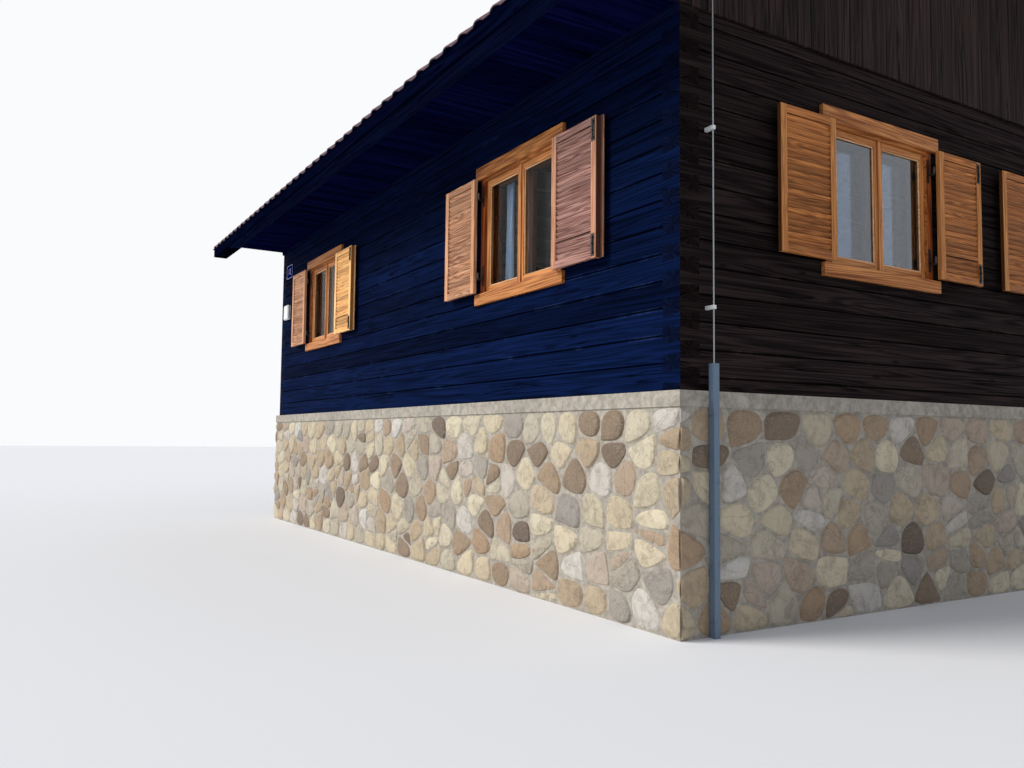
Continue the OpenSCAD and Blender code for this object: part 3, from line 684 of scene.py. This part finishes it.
class Heap:
    def __init__(self, seed=1):
        self.points, self.faces, self.tones = [], [], []
        self.chance = random.Random(seed)

    def add(self, shape, place=None, tone=None):
        points, faces = shape
        if place is not None:
            points = [place @ Vector(p) if isinstance(place, Matrix) else place(*p) for p in points]
        start = len(self.points)
        self.points.extend([tuple(p) for p in points])
        self.faces.extend([[i + start for i in f] for f in faces])
        value = self.chance.random() if tone is None else tone
        self.tones.extend([value] * len(faces))

    def make(self, name, material, slot, body="house", stands_for=(), smooth=False):
        mesh = bpy.data.meshes.new(name)
        mesh.from_pydata(self.points, [], self.faces)
        mesh.attributes.new("tone", "FLOAT", "FACE").data.foreach_set("value", self.tones)
        shell = bmesh.new()
        shell.from_mesh(mesh)
        bmesh.ops.recalc_face_normals(shell, faces=shell.faces)
        shell.to_mesh(mesh)
        shell.free()
        if smooth:
            mesh.shade_smooth()
        return add_piece(mesh, material, body, stands_for)


def net_faces(rows, strips, start=0):
    """The faces of a net of points, rows + 1 lines of strips + 1 points each."""
    wide = strips + 1
    corners = [start + row * wide + k for row in range(rows) for k in range(strips)]
    return [[a, a + 1, a + wide + 1, a + wide] for a in corners]


def shell_faces(rows, strips):
    """A net, the same net again as its other side, and the rim between the two."""
    wide, layer = strips + 1, (strips + 1) * (rows + 1)
    faces = net_faces(rows, strips) + net_faces(rows, strips, layer)
    for a in [*range(strips), *range(rows * wide, rows * wide + strips)]:
        faces.append([a, a + 1, layer + a + 1, layer + a])
    for a in [row * wide + k for row in range(rows) for k in (0, strips)]:
        faces.append([a, a + wide, layer + a + wide, layer + a])
    return faces


print("a shell of 1 by 2 has", len(shell_faces(1, 2)), "faces")

# %% [markdown]
# ## The rubble plinth
# The plinth is laid from rounded field stones in light mortar, and its solid stays as the
# mortar bed. The stones are cells between scattered centres on the wall rolled out flat, then
# shrunk by a joint, rounded and domed. A stone at a corner goes on round it on the next wall.

# %% Lay out the stones
plinth_x, plinth_y, plinth_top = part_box("stone_plinth")[1]
runs = [2 * plinth_x, 2 * plinth_y, 2 * plinth_x, 2 * plinth_y]
turns = [(-plinth_x, -plinth_y), (plinth_x, -plinth_y), (plinth_x, plinth_y), (-plinth_x, plinth_y)]
headings = [(1, 0), (0, 1), (-1, 0), (0, -1)]
girth = sum(runs)
stone_chance = random.Random(31)
between = stone_chance.uniform
rows = 7
row_h = plinth_top / rows
centres = []
for row in range(rows):
    place = stone_chance.random() * 0.2
    while place < girth - 0.12:
        wide = between(0.20, 0.40)
        centres.append((place + wide / 2, (row + 0.5) * row_h + between(-0.055, 0.055)))
        if stone_chance.random() < 0.16:
            centres.append((place + wide / 2 + 0.02, (row + 0.5) * row_h + stone_chance.choice((-0.09, 0.09))))
        place += wide
print("stones:", len(centres))


def cut(outline, normal, limit):
    """Keeps the part of a convex outline where normal . p is at most limit."""
    kept = []
    for p, q in zip(outline, outline[1:] + outline[:1]):
        dp = normal[0] * p[0] + normal[1] * p[1] - limit
        dq = normal[0] * q[0] + normal[1] * q[1] - limit
        if dp <= 0:
            kept.append(p)
        if dp * dq < 0:
            t = dp / (dp - dq)
            kept.append((p[0] + t * (q[0] - p[0]), p[1] + t * (q[1] - p[1])))
    return kept


def stone_outline(s, z, near, joint):
    """The cell round one centre, shrunk by the joint, with its corners cut off twice."""
    outline = [(s - 0.5, 0.004), (s + 0.5, 0.004), (s + 0.5, plinth_top - 0.006), (s - 0.5, plinth_top - 0.006)]
    for ns, nz in near:
        ds, dz = ns - s, nz - z
        far = hypot(ds, dz)
        limit = (ds * (s + ns) + dz * (z + nz)) / 2 / far - joint
        outline = cut(outline, (ds / far, dz / far), limit)
        if len(outline) < 3:
            return []
    for _ in range(2):
        outline = [(p[0] + (q[0] - p[0]) * t, p[1] + (q[1] - p[1]) * t)
                   for p, q in zip(outline, outline[1:] + outline[:1]) for t in (0.25, 0.75)]
    return outline


# %% Dome the stones and wrap them round the walls
def edge_lines(outline):
    """Each edge of a convex outline as an outward normal and a limit."""
    start = np.array(outline)
    edge = np.roll(start, -1, axis=0) - start
    length = np.maximum(np.hypot(edge[:, 0], edge[:, 1]), 1e-9)
    normal = np.stack([edge[:, 1] / length, -edge[:, 0] / length], axis=1)
    return normal, (normal * start).sum(axis=1)


def depth_inside(points, lines):
    return (lines[1] - np.asarray(points) @ lines[0].T).min(axis=1)


def on_wall(wall, s, z, out):
    """A point of the rolled-out wall, set proud by `out`; near a corner it is mitred."""
    (cx, cy), (hx, hy) = turns[wall], headings[wall]
    mitre = 0.04
    pull = max(0.0, 1 - (runs[wall] - s) / mitre) - max(0.0, 1 - s / mitre)
    t = s + out * pull
    return (cx + hx * t + hy * out, cy + hy * t - hx * out, z)


guard_y, guard_half, guard_room = -3.08, 0.05, 0.006
grid_step, crown_run, furthest_out, rim_w = 0.042, 0.016, 0.024, 0.024
grid = [(i + 0.5 * (j % 2), j) for i in range(-8, 9) for j in range(-6, 7)]
stone_heaps = [Heap(wall) for wall in range(4)]
starts = [sum(runs[:wall]) for wall in range(4)]
laps = (-girth, 0, girth)
bin_w, reach_near = 0.5, 0.62
bins = {}
for s, z in centres:
    for lap in laps:
        bins.setdefault(floor((s + lap) / bin_w), []).append((s + lap, z))
for s, z in centres:
    home = floor(s / bin_w)
    near = [p for b in range(home - 1, home + 2) for p in bins.get(b, [])
            if 1e-6 < dist(p, (s, z)) < reach_near]
    outline = stone_outline(s, z, near, between(0.002, 0.007))
    if len(outline) < 8:
        continue
    lines = edge_lines(outline)
    crown, tone = between(0.011, 0.021), stone_chance.random()
    lean = (between(-0.05, 0.05), between(-0.06, 0.06))
    middle = np.mean(outline, axis=0)
    shoulder = [tuple(middle + (np.array(p) - middle) * 0.86) for p in outline]
    inside = [(middle[0] + i * grid_step + between(-0.008, 0.008),
               middle[1] + j * grid_step + between(-0.008, 0.008)) for i, j in grid]
    inside = [p for p, deep in zip(inside, depth_inside(inside, lines)) if deep > rim_w]
    for wall, lap in product(range(4), laps):
        low_s, high_s = starts[wall] + lap, starts[wall] + lap + runs[wall]
        part = cut(cut(outline, (-1, 0), -low_s), (1, 0), high_s)
        if len(part) < 3:
            continue
        points = part + [p for p in shoulder + inside if low_s + 0.002 < p[0] < high_s - 0.002]
        rim = [list(range(len(part)))]
        flat, _, triangles, *_ = delaunay_2d_cdt([Vector(p) for p in points], [], rim, 1, 1e-5)
        shaped = []
        for v, deep in zip(flat, depth_inside([tuple(v) for v in flat], lines)):
            tilted = (lean[0] * (v.x - middle[0]) + lean[1] * (v.y - middle[1])) * min(1, deep / 0.03)
            out = crown * (1 - exp(-max(deep, 0) / crown_run)) + tilted
            out += 0.002 * sin(61 * v.x + 150 * tone) * sin(73 * v.y + 50 * tone)
            out = -0.004 if deep < 1e-4 else max(0.0, min(furthest_out, out))
            along = v.x - low_s
            if wall == 1 and abs(along - plinth_y - guard_y) < guard_half:
                out = min(out, guard_room)
            shaped.append(on_wall(wall, along, v.y, out))
        stone_heaps[wall].add((shaped, [list(t) for t in triangles]), tone=tone)
print("stone triangles:", [len(heap.faces) for heap in stone_heaps])

# %% The finish of stone and mortar
stone_finish = new_finish("field_stone")
tone = own_tone()
moved = put("VectorMath", {0: spot, 1: joined(tone * 9.0)}, operation="ADD")
blotch, speck = noise(moved, 9.0, 6.0, 0.62, 0.6), noise(moved, 90.0, 4.0, 0.7)
vein = abs(noise(moved, 5.0, 5.0, 0.6, 1.2) - 0.5)
tint = ramp(tone, (0.0, (96, 82, 70)), (0.14, (154, 132, 106)), (0.32, (194, 182, 154)), (0.48, (138, 132, 126)),
            (0.64, (204, 193, 166)), (0.80, (156, 130, 102)), (1.0, (196, 192, 184)))
tint = mixed(fade(blotch, 0.42, 0.75, 0.0, 0.45), tint, paint(104, 88, 74))
tint = mixed(fade(speck, 0.52, 0.72, 0.0, 0.4), tint, paint(205, 200, 190))
tint = mixed(fade(vein, 0.0, 0.02, 0.35, 0.0), tint, paint(84, 76, 68))
feed(shader, {"Base Color": tint, "Roughness": fade(speck, 0.3, 0.7, 0.78, 0.95)})
relief(blotch + speck * 0.25, 0.012, 0.9)

mortar_finish = new_finish("lime_mortar")
lumps, cloud = noise(spot, 18.0, 6.0, 0.65, 0.3), noise(spot, 1.6, 4.0, 0.6)
tint = mixed(fade(lumps, 0.3, 0.7), paint(138, 131, 120), paint(178, 171, 158))
tint = mixed(fade(cloud, 0.45, 0.75, 0.0, 0.45), tint, paint(126, 120, 112))
feed(shader, {"Base Color": tint, "Roughness": 0.92})
relief(lumps + noise(spot, 220.0, 3.0, 0.7) * 0.3, 0.006, 0.8)
dress(mortar_finish, "stone_plinth", "plinth_band")
for wall, name in enumerate(("front", "right", "back", "left")):
    stone_heaps[wall].make("stones_" + name, stone_finish, slot="rubble_stone")

# %% [markdown]
# ## Dark timber under the eaves
# Narrow cross boards close the eaves from below. They, the trim, the fascia, the bargeboards
# and the rafters are under the same blue-black stain. The tie beams are plain sawn timber.

# %% Finishes of the dark timber
def steps_of(axis, each):
    """One tone for each stretch of an axis, so that neighbouring timbers differ."""
    return lambda *xyz: by_chance(calc("FLOOR", xyz[axis] * each))


def dark_timber(name, dark, light, lay, **more):
    marks = dict(knots=0.3, cracks=0.6, rough=0.6, shine=0.0, run=0.7, depth=0.0012)
    return wood(name, dark, light, lay, **{**marks, **more})


dark_edge = dark_timber("dark_fascia", (1, 3, 18), (6, 12, 36), "x", spread=0.2)
dark_cross = dark_timber("dark_soffit", (1, 2, 24), (10, 15, 58), "y", cracks=0.5, across=24.0, spread=0.7)
dress(dark_edge, "fascias", "soffits")
dress(dark_timber("dark_trim", (5, 10, 32), (16, 26, 60), "x", member=steps_of(2, 7.0), spread=0.3),
      "soffit_trims", "purlins", "roof_boards")
dress(dark_timber("dark_bargeboard", (4, 6, 20), (13, 17, 38), "slope", member=lambda x, y, z: by_chance(y > 0.0),
                  spread=0.2), "bargeboards", "rafters")
dress(wood("sawn_tie_beam", (74, 52, 36), (138, 104, 72), "y", member=steps_of(0, 3.0), rough=0.7, across=20.0,
           spread=0.4), "tie_beams")

# %% Lay the soffit boards
def jointed(heap, x_low, x_high, joint_reach, low, high, gap, edge, place=None):
    """Two boards in one row, which meet end to end at a random joint; low and high are (y, z)."""
    joint = heap.chance.uniform(-joint_reach, joint_reach)
    for x0, x1 in ((x_low, joint), (joint, x_high)):
        heap.add(block((x0 + gap, low[0] + gap, low[1]), (x1 - gap, high[0] - gap, high[1]), edge), place)


soffit_low, soffit_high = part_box("soffits")
soffit_count, seam = 72, 0.0012
soffit_w = 2 * half_len / soffit_count
soffit_in = half_depth + 0.001
soffit_boards = Heap(41)
for side, k in product((-1, 1), range(soffit_count)):
    x = -half_len + k * soffit_w
    y0, y1 = sorted((side * soffit_in, side * soffit_high.y))
    soffit_boards.add(block((x + seam, y0, soffit_low.z), (x + soffit_w - seam, y1, soffit_high.z), 0.004))
soffit_boards.make("soffit_boards", dark_cross, slot="dark_boards", stands_for=["soffits"])

# %% [markdown]
# ## Boards on a slope
# Roof boards and tiles both follow the slope. It is easiest to lay them flat, x along the
# eave, q up the slope and n out of it, and to let one function fold that sheet to either side.

# %% The folded sheet and the roof boards
slope_y = -eave_y + cover_t * sin(pitch)
slope_z = eave_top - cover_t * cos(pitch)
slope_len = -slope_y / cos(pitch)


def on_slope(side):
    def place(x, q, n):
        y = slope_y + q * cos(pitch) - n * sin(pitch)
        return (x, side * -y, slope_z + q * sin(pitch) + n * cos(pitch))
    return place


deck_low, deck_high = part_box("roof_boards")
deck_start = (deck_low.y - slope_y) / cos(pitch) + 0.017
deck_run = slope_len - 0.02 - deck_start
deck_rows = int(deck_run / 0.145)
deck_w = deck_run / deck_rows
deck = Heap(42)
for side, row in product((-1, 1), range(deck_rows)):
    q = deck_start + row * deck_w
    jointed(deck, -deck_high.x, deck_high.x, 2.5, (q, -board_t), (q + deck_w, -0.001), seam, 0.003, on_slope(side))
deck_wood = dark_timber("roof_deck", (5, 10, 32), (34, 32, 44), "x", knots=0.4, cracks=0.5, rough=0.65, spread=0.6)
deck.make("roof_deck", deck_wood, slot="roof_timber", stands_for=["roof_boards"])

# %% [markdown]
# ## Clay tiles
# The covering is of interlocking clay tiles: each has a flat pan and a round roll along one
# side, and its lower end lies on the heads of the tiles below. From the ground only the row of
# round ends along the eave shows. One tile is a shell with a rounded nose, laid 17 rows by 44
# columns on each slope.

# %% One tile
tile_rows, tile_columns = 17, 44
tile_w = 2 * verge_x / tile_columns
tile_gap, tile_len, tile_t, roll_h, rest_n = 0.328, 0.400, 0.011, 0.020, 0.013


def roll(u):
    """Height of the tile across its width: a flat pan, then the round roll, open at its far edge."""
    pan, last = 0.42, 0.999
    u = min(u, last)
    return 0.0 if u < pan else roll_h * sin(pi * (u - pan) / (1 - pan)) ** 0.75


def tile_shell(x0, x1, q0, q1, lift):
    strips, nose, nose_drop = 10, 0.006, 0.004
    points = []
    for level in (0, 1):
        for q, drop in ((q0, nose_drop), (q0 + nose, 0.0), (q1, 0.0)):
            base = rest_n * (1 - (q - q0) / tile_len) + lift
            for k in range(strips + 1):
                top = base + tile_t + roll(k / strips)
                points.append((x0 + (x1 - x0) * k / strips, q, top - (drop if level else tile_t)))
    return points, shell_faces(2, strips)


def column_start(column):
    """Each tile laps 4 mm over its left neighbour; the first one begins at the verge."""
    return max(-verge_x, -verge_x + column * tile_w - 0.004)


tile_shape = tile_shell(0, tile_w, 0, tile_len, 0)
print("one tile:", len(tile_shape[0]), "points", len(tile_shape[1]), "faces")

# %% Clay, and all the tiles
clay = new_finish("weathered_clay")
cloud, fleck = noise(spot, 3.0, 5.0, 0.65, 0.3), noise(spot, 42.0, 5.0, 0.7)
burnt = ramp(own_tone(), (0.0, (72, 46, 52)), (0.5, (84, 57, 65)), (1.0, (96, 69, 79)))
grey = mixed(fade(fleck, 0.4, 0.65), paint(84, 74, 88), paint(122, 110, 130))
moss = fade(noise(spot, 7.0, 6.0, 0.7, 0.5), 0.6, 0.72) * 0.6
tint = mixed(moss, mixed(fade(cloud, 0.45, 0.75, 0.0, 0.5), burnt, grey), paint(74, 76, 52))
feed(shader, {"Base Color": tint, "Roughness": fade(fleck, 0.3, 0.7, 0.72, 0.9)})
relief(fleck, 0.0015, 0.6)
dress(clay, "roof_covering_front", "roof_covering_back", "ridge_cap")

for side, name in ((-1, "front"), (1, "back")):
    tiles = Heap(50 + side)
    for row, column in product(range(tile_rows), range(tile_columns)):
        slip = tiles.chance.uniform(-0.004, 0.004) if row else 0.0
        q0, x0 = row * tile_gap, column_start(column)
        x1 = x0 + tile_w + (0.003 if column else 0.0)
        tiles.add(tile_shell(x0, x1, q0 + slip, min(q0 + tile_len, slope_len - 0.012),
                             tiles.chance.uniform(0.0, 0.0008)), on_slope(side))
    tiles.make("tiles_" + name, clay, slot="roof_tiles", stands_for=["roof_covering_" + name])

# %% Fill the hollows under the first row
# A comb that follows the tiles' underside closes the eaves against birds and daylight. Its
# foot sits on the fascia, and over the bargeboards at the verges it follows the slope.
comb = Heap(52)
comb_q, comb_parts = (0.008, 0.018), 12
fascia_q = (drip - cover_t * sin(pitch)) / cos(pitch)
bargeboard_side = verge_x - 0.078
for side, column in product((-1, 1), range(tile_columns)):
    points, faces = [], []
    for k in range(comb_parts + 1):
        x = column_start(column) + tile_w * (k / comb_parts)
        for q in comb_q:
            seat = -(q - fascia_q) * tan(pitch) if abs(x) < bargeboard_side else 0.0
            top = rest_n * (1 - q / tile_len) + roll(k / comb_parts) - 0.0004
            points += [(x, q, seat + 0.0003), (x, q, top)]
        if k:
            m = 4 * (k - 1)
            faces += [[m, m + 4, m + 5, m + 1], [m + 2, m + 3, m + 7, m + 6],
                      [m + 1, m + 5, m + 7, m + 3], [m, m + 2, m + 6, m + 4]]
    faces += [[0, 1, 3, 2], [m + 4, m + 6, m + 7, m + 5]]
    comb.add((points, faces), on_slope(side))
comb.make("eaves_comb", dark_edge, slot="dark_boards")

# %% [markdown]
# ## Ridge tiles
# The ridge is closed by half-round tiles. Each laps over the next and has a raised collar at
# its wide end. The profile is a rounded peak, steep at the sides like the real ones.

# %% Lay the ridge
cap_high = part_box("ridge_cap")[1]
cap_y, apex = cap_high.y, cap_high.z
soft, side_fall = 0.05, 1.36
ridge_count, ridge_lap, shell_t, collar, collar_w = 31, 0.035, 0.012, 0.006, 0.06
ridge_gap = 2 * verge_x / ridge_count
strips = 12
ridge = Heap(61)
for k in range(ridge_count):
    x0 = -verge_x + k * ridge_gap
    x1 = min(verge_x, x0 + ridge_gap + ridge_lap)
    stations = [(x0, collar), (x1 - collar_w, collar * 0.5), (x1 - collar_w, 0.0), (x1, 0.0)]
    points = []
    for drop_in in (0.0, shell_t):
        for x, drop in stations:
            for j in range(strips + 1):
                y = cap_y * (-1 + 2 * j / strips)
                fall = drop + drop_in + side_fall * (hypot(y, soft) - soft)
                points.append((x, y * (1 - 2.0 * (drop + drop_in)), apex - fall))
    ridge.add((points, shell_faces(3, strips)))
ridge.make("ridge_tiles", clay, slot="roof_tiles", stands_for=["ridge_cap"])

# %% [markdown]
# ## Gable boards and floor
# Upright boards, cut to the slope at the top, are planted on the solid wall of each gable
# triangle. The floor is of long planed boards, which only show through the windows.

# %% Board the gables and lay the floor
gable_low, gable_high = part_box("gable_boarding")
gable_w, gable_seam, gable_board_t = 0.14, 0.0015, 0.022
foot = gable_low.z + 0.002
deck_under = (cover_t + board_t) / cos(pitch)


def rising(x, y, z):
    """z runs from 0 at the foot of a board to 1 just under the roof boards."""
    under_deck = eave_top + (eave_y - abs(y)) * tan(pitch) - deck_under
    return (x, y, foot + z * (under_deck - 0.003 - foot))


gable_boards = Heap(71)
gable_count = int(gable_high.y / gable_w)
for side, k in product((-1, 1), range(-gable_count, gable_count)):
    x0, x1 = sorted((side * half_len, side * (half_len + gable_board_t)))
    y0, y1 = k * gable_w + gable_seam, (k + 1) * gable_w - gable_seam
    gable_boards.add(block((x0, y0, 0), (x1, y1, 1)), rising)
brown_upright = wood("brown_gable_boards", (18, 14, 15), (56, 43, 40), "z", cracks=0.7, rough=0.62, shine=0.06,
                     spread=0.6)
dress(brown_upright, "gable_boarding")
gable_boards.make("gable_boards", brown_upright, slot="brown_boards")

floor_low, floor_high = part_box("floor_planks")
plank_count = 42
plank_w = (floor_high.y - floor_low.y) / plank_count
planks = Heap(72)
for k in range(plank_count):
    y = floor_low.y + k * plank_w
    jointed(planks, floor_low.x, floor_high.x, 2.0, (y, floor_low.z), (y + plank_w, floor_high.z), 0.0008, 0.002)
plank_wood = wood("floor_wood", (50, 34, 22), (90, 64, 42), "x", rough=0.45, across=24.0, depth=0.0006,
                  spread=0.35)
dress(plank_wood, "floor_planks")
planks.make("floor_boards", plank_wood, slot="floor_wood", stands_for=["floor_planks"])

# %% [markdown]
# ## A window's own axes
# Every window has the same small parts, so they are described once in the window's own axes:
# x along the wall from the window's middle, y into the house, z up from the sill. A matrix for
# each window then carries them to its wall.

# %% Window places, glazing beads and casing screws
def window_place(side, along):
    degrees, x, y = {"front": (0, along, -half_depth), "right": (90, half_len, along),
                     "back": (180, along, half_depth), "left": (-90, -half_len, along)}[side]
    return turned(x, y, sill_z, degrees, "Z")


def facing_out(x, y, z):
    """Turns a peg that points up so that it points out of the wall."""
    return turned(x, y, z, 90, "X")


long_windows = [(side, s * window_x) for side in ("front", "back") for s in (-1, 1)]
side_windows = [(side, s * gable_window_y) for side in ("right", "left") for s in (-1, 1)]
pane_in = sash_gap / 2 + sash_w
pane_out = opening_w / 2 - jamb_w - sash_gap - sash_w
pane_low = rail_h + sash_gap + sash_w
pane_high = opening_h - pane_low
bead, bead_edge = 0.012, 0.004
bead_face = sash_in + sash_t / 2 - 0.003


def beads():
    """Two level beads and two upright ones round each of the two panes."""
    y0, y1 = bead_face - bead, bead_face
    for s in (-1, 1):
        x0, x1 = sorted((s * pane_in, s * pane_out))
        for z0, z1 in ((pane_low, pane_low + bead), (pane_high - bead, pane_high)):
            yield block((x0, y0, z0), (x1, y1, z1), bead_edge)
        for a, b in ((x0, x0 + bead), (x1 - bead, x1)):
            yield block((a, y0, pane_low + bead), (b, y1, pane_high - bead), bead_edge)


casing_face, screw_x = -0.030, opening_w / 2 + 0.005
screw_z = (opening_h - head_lap + head_board / 2, sill_rise - sill_board / 2)
for windows, tag in ((long_windows, "long"), (side_windows, "gable")):
    strips, screws = Heap(81), Heap(82)
    for window in windows:
        place = window_place(*window)
        for shape in beads():
            strips.add(shape, place)
        for x, z in product((-screw_x, -0.2, 0.2, screw_x), screw_z):
            screws.add(peg(0.0045, 0.0006, 0.0012), place @ facing_out(x, casing_face + 0.0004, z))
    strips.make("glazing_beads_" + tag, pale, slot="golden_wood")
    screws.make("casing_screws_" + tag, zinc, slot="zinc_steel")

# %% [markdown]
# ## Hardware on the leaves
# The leaf that closes last carries a black bolt at its top and its foot: a plate, two keepers
# and a round rod. Three screws hold each strap. These pieces ride with their own leaf, so they
# travel with it when it swings.

# %% Bolts and strap screws on the leaves
leaf_out = -(axis_out + leaf_front + leaf_t)
leaf_top = leaf_bottom + leaf_h
bolt_x, bolt_w, plate_t, rod_r, keeper_w, keeper_h = 1.126, 0.042, 0.003, 0.004, 0.020, 0.018
plate_face = leaf_out - plate_t
rod_y = plate_face - rod_r
strap_in, strap_steps = 0.150, (0.05, 0.13, 0.21)
strap_back = -(axis_out + leaf_front) + 0.0002


def bolt(heap, place, z0, z1, rod0, rod1, knob_z):
    """A plate from z0 to z1, and a rod from rod0 to rod1 with a knob on it."""
    plate_low, plate_high = (bolt_x - bolt_w / 2, plate_face, z0), (bolt_x + bolt_w / 2, leaf_out + 0.0005, z1)
    heap.add(block(plate_low, plate_high, 0.001), place)
    heap.add(peg(rod_r, rod1 - rod0), place @ Matrix.Translation((bolt_x, rod_y, rod0)))
    for z in (z0 + 0.025, z1 - 0.025):
        heap.add(block((bolt_x - keeper_w / 2, rod_y - rod_r - 0.0015, z - keeper_h / 2),
                       (bolt_x + keeper_w / 2, plate_face + 0.0005, z + keeper_h / 2), 0.0015), place)
    heap.add(peg(0.005, 0.010, 0.002), place @ facing_out(bolt_x, rod_y + 0.002, knob_z))
    for x, z in product((-0.015, 0.015), (z0 + 0.008, z1 - 0.008)):
        heap.add(peg(0.003, 0.0004, 0.0008), place @ facing_out(bolt_x + x, plate_face + 0.0002, z))


def bolts(heap, place):
    bolt(heap, place, leaf_bottom + 0.012, leaf_bottom + 0.172, 0.050, leaf_bottom + 0.150, leaf_bottom + 0.10)
    bolt(heap, place, leaf_top - 0.177, leaf_top - 0.012, leaf_top - 0.155, 0.985, leaf_top - 0.10)


def strap_screws(heap, place, side):
    for z, step in product((leaf_bottom + strap_in, leaf_top - strap_in), strap_steps):
        x = side * (hinge_x + leaf_side + step)
        heap.add(peg(0.0055, 0.0004, 0.0014), place @ turned(x, strap_back, z, -90, "X"))


hinged = {"near": ("front", window_x), "far": ("front", -window_x), "gable": ("right", -gable_window_y)}
hands = ((-1, "left"), (1, "right"))
for name, window in hinged.items():
    place = window_place(*window)
    for side, hand in hands:
        heap = Heap(90)
        strap_screws(heap, place, side)
        heap.make(f"strap_screws_{name}_{hand}", iron, slot="black_iron", body=f"{name}_{hand}_leaf")
    heap = Heap(91)
    bolts(heap, place)
    heap.make("bolts_" + name, iron, slot="black_iron", body=name + "_right_leaf")
fixed_hardware = Heap(92)
for window in [w for w in long_windows + side_windows if w not in hinged.values()]:
    place = window_place(*window)
    for side, hand in hands:
        strap_screws(fixed_hardware, place, side)
    bolts(fixed_hardware, place)
fixed_hardware.make("fixed_hardware", iron, slot="black_iron")

# %% [markdown]
# ## Number plate and wall box
# Near the far end hang a blue enamel plate with white digits and, below it, a small white
# box. The digits here are plain ones. The plate has a raised rim and a screw in each corner;
# the box has a lid with rounded edges.

# %% Make the plate and the box
def front_corners(low, high, inset):
    return product((low.x + inset, high.x - inset), (low.z + inset, high.z - inset))


low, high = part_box("number_plate")
middle = (low + high) / 2
digits = bpy.data.curves.new("plate_digits", "FONT")
digits.body, digits.size, digits.extrude = "12", 0.12, 0.0006
digits.align_x, digits.align_y = "CENTER", "CENTER"
draft = show("digits_draft", digits)
bpy.context.view_layer.update()
mesh = bpy.data.meshes.new_from_object(draft)
bpy.data.objects.remove(draft)
mesh.name = "plate_digits"
mesh.transform(facing_out(middle.x, low.y - 0.0004, middle.z))
add_piece(mesh, white_paint)

rim, rim_w, rim_edge = Heap(95), 0.006, 0.0007
rim_front, rim_back = low.y - 0.0015, low.y + 0.001
for z in (low.z, high.z - rim_w):
    rim.add(block((low.x, rim_front, z), (high.x, rim_back, z + rim_w), rim_edge))
for x in (low.x, high.x - rim_w):
    rim.add(block((x, rim_front, low.z), (x + rim_w, rim_back, high.z), rim_edge))
rim.make("plate_rim", white_paint, slot="white_plastic")

screws = Heap(96)
for x, z in front_corners(low, high, 0.02):
    screws.add(peg(0.005, 0.0006, 0.0016), facing_out(x, low.y + 0.0003, z))
clip_low, clip_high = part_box("rod_clips")
for z in (clip_low.z + 0.012, clip_high.z - 0.012):
    screws.add(peg(0.004, 0.0006, 0.0014), facing_out(clip_low.x + 0.014, clip_low.y + 0.0003, z))
screws.make("plate_screws", zinc, slot="zinc_steel")

low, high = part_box("wall_box")
lid_at, lid_gap, lid_in = low.y + 0.034, 0.0012, 0.003
case = Heap(97)
case.add(block((low.x + lid_in, lid_at + lid_gap, low.z + lid_in), (high.x - lid_in, high.y, high.z - lid_in), 0.008),
         tone=0.5)
case.add(block(low, (high.x, lid_at, high.z), 0.012), tone=0.6)
for x, z in front_corners(low, high, 0.022):
    case.add(peg(0.006, 0.0002, 0.0008), facing_out(x, low.y + 0.0010, z), 0.2)
case.make("wall_box_case", plastic, slot="white_plastic", stands_for=["wall_box"])

# %% [markdown]
# ## Curtains
# White net curtains hang behind the front windows on wooden rings, one gathered panel to each
# side. A panel is one sheet: pleats run down it as a wave that deepens toward the foot, and it
# is drawn in a little half-way down. Its flat size is worked out from its own area.

# %% Hang the curtains
net = new_finish("curtain_net")
net_x, _, net_z = axes_of(spot)
weave = calc("SINE", net_x * 2600.0) * calc("SINE", net_z * 2600.0)
# The net is white; the blue in its tint is painted cold skylight.
tint = mixed(fade(noise(spot, 6.0, 3.0), 0.3, 0.7), paint(184, 211, 250), paint(210, 230, 255))
feed(shader, {"Base Color": tint, "Roughness": 0.85, "Sheen Weight": 0.2})
relief(weave, 0.0003, 0.3)
dress(net, "curtains")

hang_y, hang_z = 0.220, opening_h + 0.050
panel_top = hang_z - 0.0125
panel_h = panel_top + sill_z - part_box("curtains")[0].z
panel_half, panel_x = 0.064, 0.485
pleats, across, down = 5, 70, 36


def panel_points(place, side):
    for j in range(down + 1):
        t = j / down
        half = panel_half * (1 - 0.16 * sin(pi * min(1, t * 1.15)))
        depth, sway = 0.013 + 0.009 * t, 0.35 * sin(5 * t + 2 * side)
        for i in range(across + 1):
            u = i / across
            x = side * panel_x + half * (2 * u - 1) + 0.004 * sin(3 * t + 9 * u)
            y = hang_y + depth * sin(2 * pi * pleats * u + sway)
            yield place @ Vector((x, y, panel_top - panel_h * t))


def hoop(major=0.0125, minor=0.0018, sides=6, turns_round=16):
    """A ring round the X axis."""
    points, faces = [], []
    for n, (c, s) in enumerate(circle(turns_round)):
        points += [(minor * a, (major + minor * b) * c, (major + minor * b) * s) for a, b in circle(sides)]
        faces += band(n * sides, (n + 1) % turns_round * sides, sides)
    return points, faces


for name, (side, hand) in product(("near", "far"), hands):
    place = window_place(*hinged[name])
    mesh = bpy.data.meshes.new(f"curtain_{name}_{hand}")
    mesh.from_pydata(list(panel_points(place, side)), [], net_faces(down, across))
    mesh.shade_smooth()
    panel_w = sum(polygon.area for polygon in mesh.polygons) / panel_h
    panel = add_piece(mesh, net, stands_for=["curtains"])
    rings = Heap(99)
    for k in range(pleats):
        x = side * panel_x + panel_half * (2 * (k + 0.5) / pleats - 1)
        rings.add(hoop(), place @ Matrix.Translation((x, hang_y, hang_z)))
    ring_piece = rings.make(f"rings_{name}_{hand}", golden, slot="golden_wood", smooth=True)
    print(panel.name, "flat", round(panel_w, 3), "by", round(panel_h, 3))
